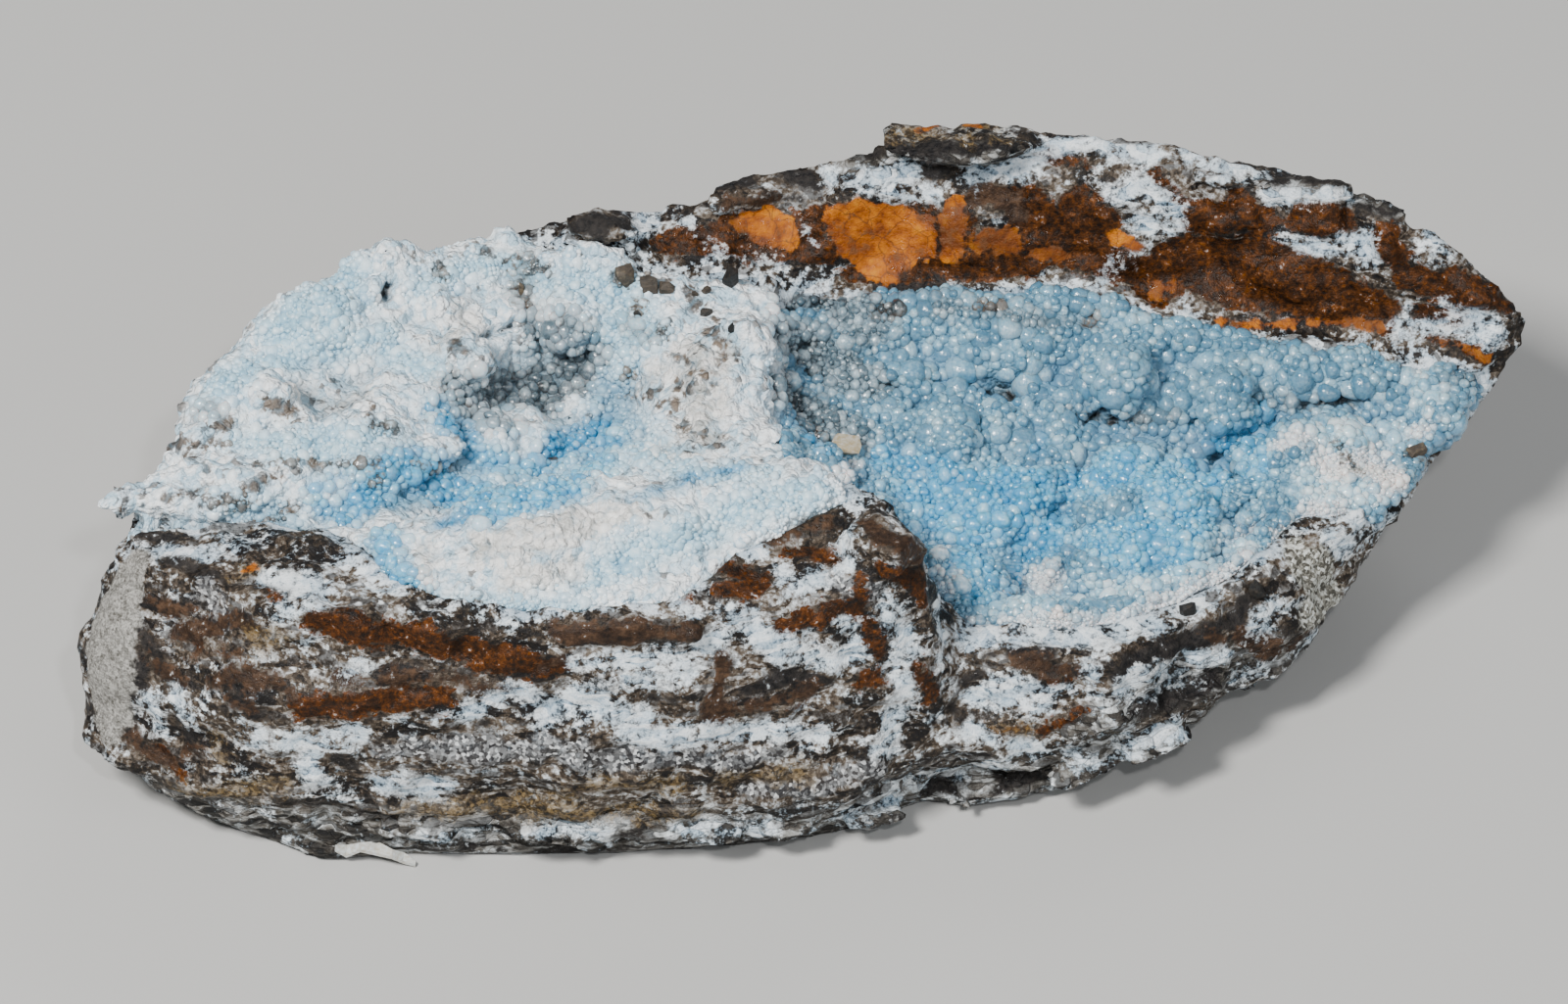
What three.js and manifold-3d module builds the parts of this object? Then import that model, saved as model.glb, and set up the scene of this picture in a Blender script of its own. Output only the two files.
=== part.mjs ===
// A cabinet specimen of allophane: a lens-shaped piece of banded host rock with two vugs in its
// top face, each lined with a botryoidal crust of allophane.
// Millimetres, +Z up, X along the specimen, -Y towards the tall broken front face.
// The relief was read off a photograph taken 40 degrees above the table, at 0.11 mm a pixel.

import * as THREE from "three";
import { ImprovedNoise } from "three/addons/math/ImprovedNoise.js";
import { mergeVertices } from "three/addons/utils/BufferGeometryUtils.js";
import Module from "manifold-3d";

const wasm = await Module();
wasm.setup();

// Driving dimensions
const CENTRE = [2, 6]; // where the plan's rays start
const HALF_LENGTH = 81; // half axes of the ellipse that the plan is measured on
const HALF_DEPTH = 41;
const CELLS_ALONG = 43; // the rock's net of cells
const CELLS_ACROSS = 24;
const CELLS_UP = 7;
const CRUST_THICKNESS = 2;
const SEAM = 0.35; // gap between a crust and what it grew on

// The widest outline of the rock, anticlockwise in plan. Each row is x, y, the height of the widest
// belt there, how far inside it the top edge stands, the height of that top edge, and how far
// inside it the foot stands.
const OUTLINE = [
  [-78.5, -19, 13, 8, 30, 12],
  [-71, -27, 8, 10, 32, 7],
  [-60, -31.5, 7, 6, 33, 4],
  [-48, -33, 7, 4, 33, 3],
  [-34, -34, 7, 4, 32.5, 3],
  [-20, -34, 7, 4, 32, 3],
  [-6, -33, 7, 5, 33, 3],
  [6, -31, 7, 7, 35, 3],
  [14, -27, 7, 6, 32, 3],
  [21, -24.5, 8, 6, 20, 4],
  [31, -25, 6, 6, 20, 5],
  [41, -22, 7, 5, 19.5, 9],
  [50, -13.5, 8, 4, 19, 16],
  [59, -7, 10, 5, 19, 24],
  [64.5, 1, 14, 2, 19.5, 26],
  [70, 10, 17, 1, 20, 26],
  [74.5, 18, 19, 1, 21.5, 30],
  [80, 23, 24, 1.5, 25, 34],
  [84, 28, 27, 2, 31, 36],
  [79, 33, 24, 3, 34, 30],
  [72, 38, 22, 5, 37, 22],
  [62, 42, 20, 5, 39, 12],
  [50, 45, 20, 5, 40, 8],
  [36, 47.5, 20, 5, 42, 6],
  [20, 48, 18, 5, 42, 5],
  [4, 46.5, 16, 5, 40, 5],
  [-12, 44, 16, 5, 36, 5],
  [-26, 41, 16, 4, 35, 5],
  [-41, 35.5, 16, 4, 34, 6],
  [-51, 31.5, 16, 4, 32, 7],
  [-62, 24, 16, 4, 31, 8],
  [-68, 12, 16, 3, 31, 8],
  [-72, 1, 15, 4, 30, 9],
  [-76, -9, 14, 5, 30, 11],
];

// The crests, feet and floors that shape the top face, each a line of x, y and height.
const RELIEF_LINES = {
  crest: [[-31, 37, 36], [-18, 39.5, 37], [-5.5, 41, 40], [5.5, 41, 43], [13.5, 42, 45],
    [25.5, 43.5, 46], [40, 42, 45], [53.5, 38.5, 42], [66.5, 36, 40], [74, 31.5, 38], [81, 28, 34]],
  rustyWallTop: [[-13.5, 35, 36], [-4.5, 38, 37.5], [5.5, 38, 38.5], [17.5, 36.7, 39], [26.5, 37, 40],
    [39, 36, 40], [49, 37, 39.5], [59, 35.5, 38], [70, 32.5, 36.5]],
  rustyWallFoot: [[-14.5, 31.5, 33], [0, 31.8, 31], [10, 31.8, 30], [22.5, 32.3, 30],
    [33.5, 32.3, 29.5], [48, 29.5, 26.5], [60, 27, 26], [71, 24.7, 25.2], [79, 23, 25]],
  shelfEdge: [[9, 21.8, 25], [18, 22.2, 24], [27.5, 21.4, 23], [39, 20.6, 22.7], [47.5, 20.6, 22.7],
    [59, 21.2, 22.3], [70, 21.6, 22.3]],
  shelfToe: [[11, 19.3, 22], [18, 19.6, 21], [28, 18.8, 20], [39, 17.9, 19.5], [47.5, 18, 19.3],
    [59, 18.6, 19.3], [70, 18.8, 20]],
  basin: [[14, 9, 18.5], [15.5, 3, 17], [22, -4.5, 16], [30, -3.5, 15], [31.5, 9, 14.5], [49, 15.5, 15],
    [49.5, 2, 16]],
  frontLip: [[20, -17.5, 20], [28, -18.5, 20], [38, -17, 19.5], [48, -11.5, 19], [53.5, -6.5, 19],
    [58, 0.5, 19.5], [66, 3.5, 19], [70.5, 11.5, 19.5], [75, 18.5, 21]],
  greyFloor: [[5.5, 30, 28], [5.5, 25, 25], [5.5, 19, 22.5], [8, 12, 21]],
  saddle: [[-11, 34, 33], [-7.5, 24, 32], [-6.5, 11.5, 31.5], [-6.5, 3.5, 30]],
  saddleEdge: [[-2.5, 30.5, 32], [-2.8, 20, 31], [-3, 9, 30], [-2, -1, 32]],
  saddleToe: [[2.5, 30, 27.5], [2.3, 20, 23.5], [2.5, 12, 22.5], [7.5, 5, 22], [11.5, 2, 21.5]],
  dome: [[-40, -18, 34], [-32.5, -16.5, 35], [-21.5, -15, 36.5], [-11, -12, 36.5], [0, -10.5, 36.5],
    [7.5, -13.5, 36.5]],
  domeToe: [[-44, -9, 29], [-33, -4, 26.5], [-21, -1.5, 27], [-11, 0.5, 29]],
  domeFront: [[-40.5, -26, 33], [-32, -28.5, 33], [-21.5, -28.5, 33], [-10.5, -27, 33],
    [-4, -22, 35]],
  blockEdge: [[9.5, -16, 37], [15.5, -20, 35]],
  blockToe: [[13, -3, 21.5], [17, -8, 20.5], [20.5, -13, 20]],
  blueFloorLeft: [[-44, 4, 27], [-35, 5.5, 26], [-26.5, 4, 25.5], [-20, 10, 24.5], [-22, 16, 23.5],
    [-29, 21, 24.5], [-33, 15, 25.5]],
  innerLeft: [[-58.5, -1, 32], [-50, 2.5, 31.5], [-42, 7.5, 31.5], [-39, 13, 32], [-37, 20, 32.5],
    [-31, 27, 32.5], [-21, 27.5, 32.5], [-14, 22, 31.5]],
  outerLeft: [[-66, 2.5, 33], [-62, 14.5, 33.5], [-56, 24, 34.5], [-48.5, 27, 35], [-41, 32.5, 35.5]],
  trough: [[-66, -9, 29], [-60, -6, 29], [-51, -4.5, 29], [-44, -7, 29]],
  leftBlockTop: [[-66, -14, 31.5], [-58, -18, 32.5], [-50, -19, 33], [-46, -24, 33]],
};

// Rounded masses on that relief: x, y, height of the top, half widths in X and Y, and depth.
const MOUNDS = [
  [23, 9.5, 21.5, 8.5, 9, 7],
  [40, 4.5, 21, 10.5, 12, 7],
  [59, 11.5, 22, 10, 8, 5],
  [32, 17.5, 21, 3.2, 3.4, 3],
  [21, -9, 19.5, 6, 6, 4],
  [52, 24.5, 26, 6, 4, 3],
  [38, 25.5, 26.5, 5, 4, 3],
  [63, 23.5, 25.5, 5, 3.5, 3],
  [24, 27.5, 28.5, 6, 4, 3],
  [11, -21.5, 38.5, 5, 5, 5],
  [-21, 33.5, 38.5, 5.5, 4, 5],
  [-52.5, 20.5, 37, 5, 4, 4],
  [-44.5, 29, 37.5, 5, 4.5, 4],
  [-61, 8, 35.5, 5, 5, 4],
  [-28, -17, 37.5, 8, 7, 4],
  [-13, -15, 37.5, 8, 6, 4],
  [1, -12, 37.8, 6, 5, 4],
  [-30, 9, 28, 5, 4, 3],
  [-7, 17, 33.5, 5, 9, 4],
];

// Plans of the two crusts, anticlockwise. Where one runs past the rock's edge it hangs over it.
const LEFT_CRUST_PLAN = [
  [-80, -11], [-74, -13], [-63, -11], [-52, -11.5], [-46, -18], [-42, -25], [-32, -28], [-21, -28.5],
  [-10.5, -27], [-5, -21], [2, -17.5], [8, -14], [5, -7], [0, -2], [-0.5, 6], [-0.7, 14], [-0.5, 24],
  [-1, 31], [-12, 31.5], [-18, 30], [-26, 33], [-34, 38], [-44, 37], [-55, 31], [-64, 23],
  [-69, 12], [-72, 2], [-79, -6],
];
const RIGHT_CRUST_PLAN = [
  [8, -4], [13, -7], [17, -12], [21, -16], [29, -16.5], [38, -14.5], [46, -9.5], [52, -4],
  [58, 3], [66, 4], [73, 8], [79, 17], [84, 21.5], [78, 23.3], [71, 24.2], [60, 26.5], [48, 29],
  [33.5, 31.8], [22.5, 31.8], [10, 31.3], [0.5, 31], [-1.5, 24], [-1.5, 14], [-1.2, 6], [-1, -1],
];

const ROCK = new THREE.MeshStandardMaterial({ color: 0x5a4a3d, roughness: 0.75, metalness: 0 });
const PALE_CRUST = new THREE.MeshStandardMaterial({ color: 0xc9d8e0, roughness: 0.5, metalness: 0 });
const BLUE_CRUST = new THREE.MeshStandardMaterial({ color: 0x6fb0d2, roughness: 0.3, metalness: 0 });

const perlin = new ImprovedNoise();
const noise = (x, y, z, scale) => perlin.noise(x / scale + 31.7, y / scale + 17.3, z / scale + 5.1);

// A repeatable source of numbers from 0 to 1.
function seeded(seed) {
  let state = seed;
  return () => {
    state = (state * 1664525 + 1013904223) % 4294967296;
    return state / 4294967296;
  };
}

// Plan outlines

// A closed plan as a function of the angle on the ellipse: its distance from the centre there,
// and its other columns, all carried round by a Catmull-Rom curve.
function planOf(rows, centre = CENTRE) {
  const SAMPLES = 720;
  const columns = rows[0].length;
  const curves = [];
  for (let c = 0; c < columns; c++) {
    const points = rows.map((row) => new THREE.Vector3(row[c], 0, 0));
    curves.push(new THREE.CatmullRomCurve3(points, true, "catmullrom", 0.5));
  }
  const samples = [];
  for (let i = 0; i < SAMPLES; i++) {
    const row = curves.map((curve) => curve.getPoint(i / SAMPLES).x);
    const along = (row[0] - centre[0]) / HALF_LENGTH;
    const across = (row[1] - centre[1]) / HALF_DEPTH;
    samples.push({ angle: Math.atan2(across, along), reach: Math.hypot(along, across), row });
  }
  samples.sort((a, b) => a.angle - b.angle);
  return (angle) => {
    let next = samples.findIndex((s) => s.angle > angle);
    if (next < 0) next = 0;
    const b = samples[next];
    const a = samples[(next + SAMPLES - 1) % SAMPLES];
    const turn = 2 * Math.PI;
    const span = (b.angle - a.angle + turn) % turn || 1;
    const t = ((angle - a.angle + turn) % turn) / span;
    const mix = (p, q) => p + (q - p) * Math.min(1, t);
    return { reach: mix(a.reach, b.reach), row: a.row.map((value, c) => mix(value, b.row[c])) };
  };
}

const rockPlan = planOf(OUTLINE);

// The point of a plan at an angle, drawn in by an inset in millimetres and then by a share.
function planPoint(plan, angle, inset, share, centre = CENTRE) {
  const { reach } = plan(angle);
  const x = HALF_LENGTH * Math.cos(angle) * reach;
  const y = HALF_DEPTH * Math.sin(angle) * reach;
  const distance = Math.hypot(x, y);
  const k = (share * (distance - inset)) / distance;
  return [centre[0] + x * k, centre[1] + y * k];
}

// Relief of the top face

const topEdge = OUTLINE.map(([x, y, , inset, height]) => {
  const distance = Math.hypot(x - CENTRE[0], y - CENTRE[1]);
  const k = (distance - inset) / distance;
  return [CENTRE[0] + (x - CENTRE[0]) * k, CENTRE[1] + (y - CENTRE[1]) * k, height];
});
const reliefLines = [...Object.values(RELIEF_LINES), [...topEdge, topEdge[0]]];

// Squared distance from a place to a line in plan, and the line's height at its nearest point.
function nearest(line, x, y) {
  let best = { square: Infinity, height: 0 };
  for (let i = 0; i + 1 < line.length; i++) {
    const [ax, ay, az] = line[i];
    const [bx, by, bz] = line[i + 1];
    const length = (bx - ax) ** 2 + (by - ay) ** 2;
    const t = THREE.MathUtils.clamp(((x - ax) * (bx - ax) + (y - ay) * (by - ay)) / length, 0, 1);
    const square = (x - ax - t * (bx - ax)) ** 2 + (y - ay - t * (by - ay)) ** 2;
    if (square < best.square) best = { square, height: az + t * (bz - az) };
  }
  return best;
}

function relief(x, y) {
  const SOFTNESS = 0.8;
  const POWER = 1.9;
  let sum = 0;
  let weights = 0;
  for (const line of reliefLines) {
    const { square, height } = nearest(line, x, y);
    const weight = 1 / (square + SOFTNESS) ** POWER;
    sum += weight * height;
    weights += weight;
  }
  let z = sum / weights;
  for (const [mx, my, top, halfX, halfY, depth] of MOUNDS) {
    const r = ((x - mx) / halfX) ** 2 + ((y - my) / halfY) ** 2;
    if (r < 1) z = Math.max(z, top - depth + depth * Math.sqrt(1 - r));
  }
  return z;
}

// Solids

function toManifold(geometry) {
  const bare = geometry.clone();
  for (const unused of ["normal", "uv"]) bare.deleteAttribute(unused);
  const merged = mergeVertices(bare, 1e-4);
  return new wasm.Manifold(new wasm.Mesh({
    numProp: 3,
    vertProperties: merged.attributes.position.array,
    triVerts: new Uint32Array(merged.index.array),
  }));
}

function toMesh(manifold, name, material) {
  const { vertProperties, triVerts, numProp } = manifold.getMesh();
  const geometry = new THREE.BufferGeometry();
  const positions = new Float32Array((vertProperties.length / numProp) * 3);
  for (let i = 0; i < positions.length / 3; i++) {
    for (let c = 0; c < 3; c++) positions[3 * i + c] = vertProperties[numProp * i + c];
  }
  geometry.setAttribute("position", new THREE.BufferAttribute(positions, 3));
  geometry.setIndex(new THREE.BufferAttribute(new Uint32Array(triVerts), 1));
  geometry.computeVertexNormals();
  const mesh = new THREE.Mesh(geometry, material);
  mesh.name = name;
  return mesh;
}

// Moves every vertex of a geometry to where a function of its place says.
function warp(geometry, place) {
  const position = geometry.attributes.position;
  for (let i = 0; i < position.count; i++) {
    position.setXYZ(i, ...place(position.getX(i), position.getY(i), position.getZ(i)));
  }
  return geometry;
}

// A point of the square from -1 to 1 as an angle and a share of the way out on a disc.
function onDisc(a, b) {
  const p = a * Math.sqrt(1 - (b * b) / 2);
  const q = b * Math.sqrt(1 - (a * a) / 2);
  return { angle: Math.atan2(q, p), share: Math.min(1, Math.hypot(p, q)) };
}

// The whole specimen before its crusts are parted from it.
function specimenBody() {
  const box = new THREE.BoxGeometry(2, 2, 1, CELLS_ALONG, CELLS_ACROSS, CELLS_UP);
  return warp(box, (a, b, c) => {
    const { angle, share } = onDisc(a, b);
    const [, , beltHeight, topInset, , footInset] = rockPlan(angle).row;
    const level = c + 0.5;
    if (level > 0.999) {
      const [x, y] = planPoint(rockPlan, angle, topInset, share);
      const rough = 0.9 * noise(x, y, 0, 6) + 0.6 * noise(x, y, 9, 3);
      return [x, y, relief(x, y) + rough];
    }
    if (level < 0.001) return [...planPoint(rockPlan, angle, footInset, share), 0];
    // The side runs from the foot out to the belt and back in to the top edge.
    const [topX, topY] = planPoint(rockPlan, angle, topInset, 1);
    const topHeight = relief(topX, topY);
    const height = topHeight * level;
    const below = height < beltHeight;
    const t = below ? height / beltHeight : (height - beltHeight) / (topHeight - beltHeight);
    const inset = below
      ? footInset * (1 - Math.sin((t * Math.PI) / 2))
      : topInset * (1 - Math.cos((t * Math.PI) / 2));
    const [x, y] = planPoint(rockPlan, angle, inset, 1);
    const beds = 2.4 * noise(x * 0.2, y * 0.2, height * 2.6, 9);
    const chips = 1.5 * noise(x, y, height, 9) + 0.9 * noise(x, y, height, 4);
    return [...planPoint(rockPlan, angle, inset - beds - chips, 1), height];
  });
}

// The tongue of crusted rock that juts out over the left end, pointed at its tip.
function leftTongue() {
  const HALF = [21, 8.5, 4.2]; // half its length, width and thickness
  const tongue = new THREE.SphereGeometry(1, 14, 7);
  tongue.rotateY(Math.PI / 2);
  warp(tongue, (x, y, z) => {
    const taper = 0.62 + 0.38 * x; // from a sharp tip to a broad root
    const swell = 1 + 0.35 * noise(HALF[0] * x, HALF[1] * y, HALF[2] * z, 5);
    return [HALF[0] * x, HALF[1] * y * taper * swell, HALF[2] * z * taper * swell];
  });
  return tongue.rotateY(0.06).rotateZ(0.36).translate(-56.5, -2.6, 31);
}

// A thin flake of schist: an outline in plan, its thickness, and where and how steeply it sits.
function flake(outline, thickness, place, turns) {
  const shape = new THREE.Shape(outline.map(([x, y]) => new THREE.Vector2(x, y)));
  const plate = new THREE.ExtrudeGeometry(shape, { depth: thickness, bevelEnabled: false });
  plate.rotateX(turns[0]);
  plate.rotateY(turns[1]);
  return plate.translate(...place);
}

const FLAKES = [
  flake([[-18, -1], [-9, -3.2], [1, -2.6], [5, -4], [12, -1.2], [8, 3], [-18, 5]],
    1.7, [34, -18.5, 5.5], [0.12, -0.12]),
  flake([[-14, -2], [-6, -3.6], [0, -2.8], [7, -1.5], [9, 3], [-14, 4]], 1.5, [26, -20.5, 1.2],
    [0.05, -0.08]),
  flake([[-10, -0.5], [-5, -2.6], [1, -2], [5, -1], [8, 4], [-9, 5]], 1.1, [-46, -30.5, 0.5],
    [0.08, 0.02]),
  flake([[-9, -2.5], [-3, -3.4], [5, -2.6], [10, -0.5], [8, 3], [-4, 3.6], [-9, 2]],
    1.6, [20, 40, 43.3], [-0.12, 0.05]),
  flake([[-8, -2], [3, -3], [9, 0], [5, 3], [-8, 3]], 1.5, [54, 38, 39.5], [-0.2, 0.2]),
];

// A long low slot under the shelf of the right vug.
function shelfSlot() {
  const slot = new THREE.SphereGeometry(1, 20, 8);
  slot.scale(27, 4.2, 1.0);
  return slot.translate(44, 21.8, 20.4);
}

// A smooth surface that stays under the relief, even where the relief drops steeply: the mean of
// the lowest heights found around each place around (x, y).
function underRelief(x, y) {
  const REACH = 4.5;
  const STEPS = [-1, 0, 1];
  let sum = 0;
  for (const i of STEPS) {
    for (const j of STEPS) {
      let lowest = Infinity;
      for (const k of STEPS) {
        for (const m of STEPS) {
          lowest = Math.min(lowest, relief(x + (i + k) * REACH, y + (j + m) * REACH));
        }
      }
      sum += lowest;
    }
  }
  return sum / STEPS.length ** 2;
}

// The space over a crust's plan, from a little under the relief up to clear air. What lies in it
// is crust. A seam widens it on every side, for the recess that the crust sits in.
function crustSpace(plan, centre, seam) {
  const OPEN_TOP = 70;
  const SIDES = 36;
  const REACH = 90; // past the plan on every side
  const CELL = 9;
  const outline = [];
  for (let i = 0; i < SIDES; i++) {
    const angle = (i / SIDES) * 2 * Math.PI - Math.PI;
    outline.push(new THREE.Vector2(...planPoint(plan, angle, -seam, 1, centre)));
  }
  const wall = new THREE.ExtrudeGeometry(new THREE.Shape(outline), {
    depth: OPEN_TOP, bevelEnabled: false,
  });
  const cells = Math.round(REACH / CELL);
  const block = new THREE.BoxGeometry(REACH, REACH, 1, cells, cells, 1);
  warp(block, (a, b, c) => {
    const x = centre[0] + a;
    const y = centre[1] + b;
    return [x, y, c > 0 ? OPEN_TOP : underRelief(x, y) - CRUST_THICKNESS - seam];
  });
  return toManifold(wall).intersect(toManifold(block));
}

// The largest nodules of a crust: balls sunk past their middles in its face, on a shaken grid.
function nodules(plan, centre, spacing, radii, seed) {
  const SINK = 0.3;
  const random = seeded(seed);
  const balls = [];
  for (let x = -80; x < 85; x += spacing) {
    for (let y = -35; y < 45; y += spacing * 0.8) {
      const px = x + (random() - 0.5) * spacing * 0.9;
      const py = y + (random() - 0.5) * spacing * 0.9;
      const radius = radii[0] + (radii[1] - radii[0]) * random();
      const along = (px - centre[0]) / HALF_LENGTH;
      const across = (py - centre[1]) / HALF_DEPTH;
      const angle = Math.atan2(across, along);
      const { reach } = plan(angle);
      const edge = planPoint(rockPlan, Math.atan2((py - CENTRE[1]) / HALF_DEPTH,
        (px - CENTRE[0]) / HALF_LENGTH), 5, 1);
      const inRock = Math.hypot(px - CENTRE[0], py - CENTRE[1])
        < Math.hypot(edge[0] - CENTRE[0], edge[1] - CENTRE[1]);
      if (Math.hypot(along, across) > reach * 0.9 || !inRock) continue;
      const ball = new THREE.IcosahedronGeometry(radius, 1);
      ball.rotateX(random() * 3).rotateY(random() * 3);
      balls.push(ball.translate(px, py, relief(px, py) - SINK * radius));
    }
  }
  return balls;
}

const leftCentre = [-34, 4];
const rightCentre = [38, 9];
const leftPlan = planOf(LEFT_CRUST_PLAN, leftCentre);
const rightPlan = planOf(RIGHT_CRUST_PLAN, rightCentre);

const added = [
  leftTongue(),
  ...FLAKES,
  ...nodules(rightPlan, rightCentre, 14, [2.6, 4], 7),
  ...nodules(leftPlan, leftCentre, 21, [2.4, 3.4], 11),
].map(toManifold);
let whole = wasm.Manifold.union([toManifold(specimenBody()), ...added]);
whole = whole.subtract(toManifold(shelfSlot()));

const underTable = new THREE.BoxGeometry(300, 200, 40).translate(0, 0, -20);
whole = whole.subtract(toManifold(underTable));

const leftSpace = crustSpace(leftPlan, leftCentre, 0);
const leftRecess = crustSpace(leftPlan, leftCentre, SEAM);
const rightSpace = crustSpace(rightPlan, rightCentre, 0);
const rightRecess = crustSpace(rightPlan, rightCentre, SEAM);

// Booleans leave crumbs of crust at the edges: only the largest body is the piece.
function largest(manifold) {
  return manifold.decompose().reduce((a, b) => (b.volume() > a.volume() ? b : a));
}

const rock = largest(whole.subtract(leftRecess).subtract(rightRecess));
const leftCrust = largest(whole.intersect(leftSpace));
const rightCrust = largest(whole.intersect(rightSpace).subtract(leftRecess));

const specimen = new THREE.Group();
specimen.add(toMesh(rock, "host_rock", ROCK));
specimen.add(toMesh(leftCrust, "left_vug_crust", PALE_CRUST));
specimen.add(toMesh(rightCrust, "right_vug_crust", BLUE_CRUST));

// The origin is the middle of the bounding box, on the table.
const bounds = new THREE.Box3().setFromObject(specimen);
const middle = bounds.getCenter(new THREE.Vector3());
specimen.position.set(-middle.x, -middle.y, -bounds.min.z);

export default specimen;
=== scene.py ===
import bpy
import bmesh
import math
import numpy as np
from collections import defaultdict
from mathutils import Euler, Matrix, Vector, noise
from mathutils.bvhtree import BVHTree


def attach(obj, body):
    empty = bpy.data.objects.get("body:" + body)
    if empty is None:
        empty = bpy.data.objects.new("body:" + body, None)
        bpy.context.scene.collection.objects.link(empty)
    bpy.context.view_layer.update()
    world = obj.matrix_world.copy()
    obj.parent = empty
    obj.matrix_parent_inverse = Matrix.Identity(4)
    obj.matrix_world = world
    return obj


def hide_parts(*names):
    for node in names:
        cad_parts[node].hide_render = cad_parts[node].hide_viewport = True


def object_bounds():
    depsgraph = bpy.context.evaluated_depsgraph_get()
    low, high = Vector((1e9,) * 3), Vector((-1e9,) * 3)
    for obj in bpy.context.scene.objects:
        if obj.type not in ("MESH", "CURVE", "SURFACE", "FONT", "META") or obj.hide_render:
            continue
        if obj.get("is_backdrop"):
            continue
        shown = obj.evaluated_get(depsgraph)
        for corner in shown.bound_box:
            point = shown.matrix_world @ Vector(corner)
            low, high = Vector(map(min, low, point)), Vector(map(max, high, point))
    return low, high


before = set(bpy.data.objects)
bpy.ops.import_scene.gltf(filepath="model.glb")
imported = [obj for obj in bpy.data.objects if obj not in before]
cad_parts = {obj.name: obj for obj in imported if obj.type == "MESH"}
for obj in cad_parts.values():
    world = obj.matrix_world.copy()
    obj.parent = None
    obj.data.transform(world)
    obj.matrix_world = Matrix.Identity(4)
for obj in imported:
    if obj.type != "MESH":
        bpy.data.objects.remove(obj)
solid_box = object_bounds()

# The camera stands where the photograph's did: 40 degrees above the table and 1.2 m away, with a
# long lens, so that 0.11 mm of the specimen fills one of the photograph's 1600 pixels.
PHOTO_WIDTH = 1600
PHOTO_HEIGHT = 1025
PIXEL = 0.00011
DISTANCE = 1.2
ELEVATION = math.radians(40)
AIM = Vector((-0.00305, -0.00137, 0.020))
BACK = Vector((0, -math.cos(ELEVATION), math.sin(ELEVATION)))
UP = Vector((0, math.sin(ELEVATION), math.cos(ELEVATION)))

camera = bpy.data.objects.new("camera", bpy.data.cameras.new("camera"))
bpy.context.scene.collection.objects.link(camera)
bpy.context.scene.camera = camera
camera.location = AIM + DISTANCE * BACK
camera.rotation_euler = (math.pi / 2 - ELEVATION, 0, 0)
camera.data.lens = camera.data.sensor_width * DISTANCE / (PHOTO_WIDTH * PIXEL)


# The whole specimen is one natural piece: a loose lens of banded schist and limonite, broken on all
# sides. Its rock is shaped here over all of the solids, so that it also backs the crusts.
MM = 0.001
ROCK_GRAIN = 0.67 * MM  # size of the rock's faces
SEAM = 0.35 * MM  # gap that the solids leave round the crusts
CRUSTS = ("left_vug_crust", "right_vug_crust")

# Lumps and plates that stand out of the rock: the photograph's pixel where each sits, its size in
# mm along, across and up, its turn about the vertical in degrees and how far, in mm, it is sunk.
OUTCROPS = (
    ((614, 236), (9.5, 6.5, 7.0), 25, 1.2),  # glossy black chunk on the crest
    ((914, 570), (8.5, 7.5, 7.5), -40, 2.2),  # brown knob at the front
    ((1345, 592), (9.0, 8.0, 9.5), 35, 2.8),  # granular lump at the right end
    ((1255, 228), (9.0, 6.0, 6.0), -15, 1.8),  # rusty lumps of the back wall
    ((1345, 232), (8.0, 5.5, 5.0), -20, 1.6),
    ((1160, 262), (8.0, 5.0, 5.0), 10, 1.8),
    ((1300, 285), (9.0, 5.0, 4.5), -20, 1.6),
    ((1418, 262), (5.5, 4.5, 6.0), 30, 1.2),
    ((1500, 292), (9.0, 5.0, 4.0), -30, 1.2),
    ((1178, 757), (10.5, 6.0, 1.7), 33, 0.2),  # plates of schist along the front of the base
    ((1100, 788), (10.0, 6.0, 1.6), 28, 0.2),
    ((1215, 712), (12.0, 6.0, 1.8), 36, 0.4),
    ((1120, 735), (11.0, 6.0, 1.8), 30, 0.4),
    ((1005, 812), (12.0, 6.0, 1.4), 12, 0.3),
    ((885, 826), (8.0, 6.0, 1.5), 8, 0.3),
    ((805, 846), (5.0, 4.0, 1.7), 12, 0.0),
    ((700, 850), (13.0, 5.0, 1.3), 2, 0.2),
    ((560, 852), (11.0, 5.0, 1.5), -3, 0.2),
    ((1330, 198), (11.0, 6.0, 1.7), -14, 0.2),  # plates of schist on the crest
    ((1400, 214), (9.0, 5.0, 1.6), -28, 0.2),
    ((985, 150), (12.0, 6.0, 1.5), 8, 0.2),
    ((762, 198), (11.0, 5.0, 1.9), 18, -0.6),
    ((640, 648), (17.0, 3.0, 4.6), -4, 0.6),  # brown plate under the white ridge
)


def merged_copy(node):
    """A CAD node's mesh with its loose triangles joined up."""
    body = bmesh.new()
    body.from_mesh(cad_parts[node].data)
    bmesh.ops.remove_doubles(body, verts=body.verts, dist=1e-6)
    body.normal_update()
    return body


def tree_of(*pieces):
    """A search tree over the faces of some pieces as they now are."""
    joined = bmesh.new()
    for piece in pieces:
        joined.from_mesh(piece.data)
    tree = BVHTree.FromBMesh(joined)
    joined.free()
    return tree


rock_tree = tree_of(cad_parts["host_rock"])
crust_tree = tree_of(*(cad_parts[node] for node in CRUSTS))
whole_tree = tree_of(*(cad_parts[node] for node in ("host_rock", *CRUSTS)))


def toward(u, v):
    """The direction from the camera to the photograph's pixel u, v."""
    across = (u - PHOTO_WIDTH / 2) * PIXEL
    along = (PHOTO_HEIGHT / 2 - v) * PIXEL
    return (AIM + Vector((across, 0, 0)) + UP * along - camera.location).normalized()


def on_specimen(u, v, tree=whole_tree):
    """Where a tree's faces are at the photograph's pixel u, v, and their normal there."""
    return tree.ray_cast(camera.location, toward(u, v))[:2]


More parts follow.
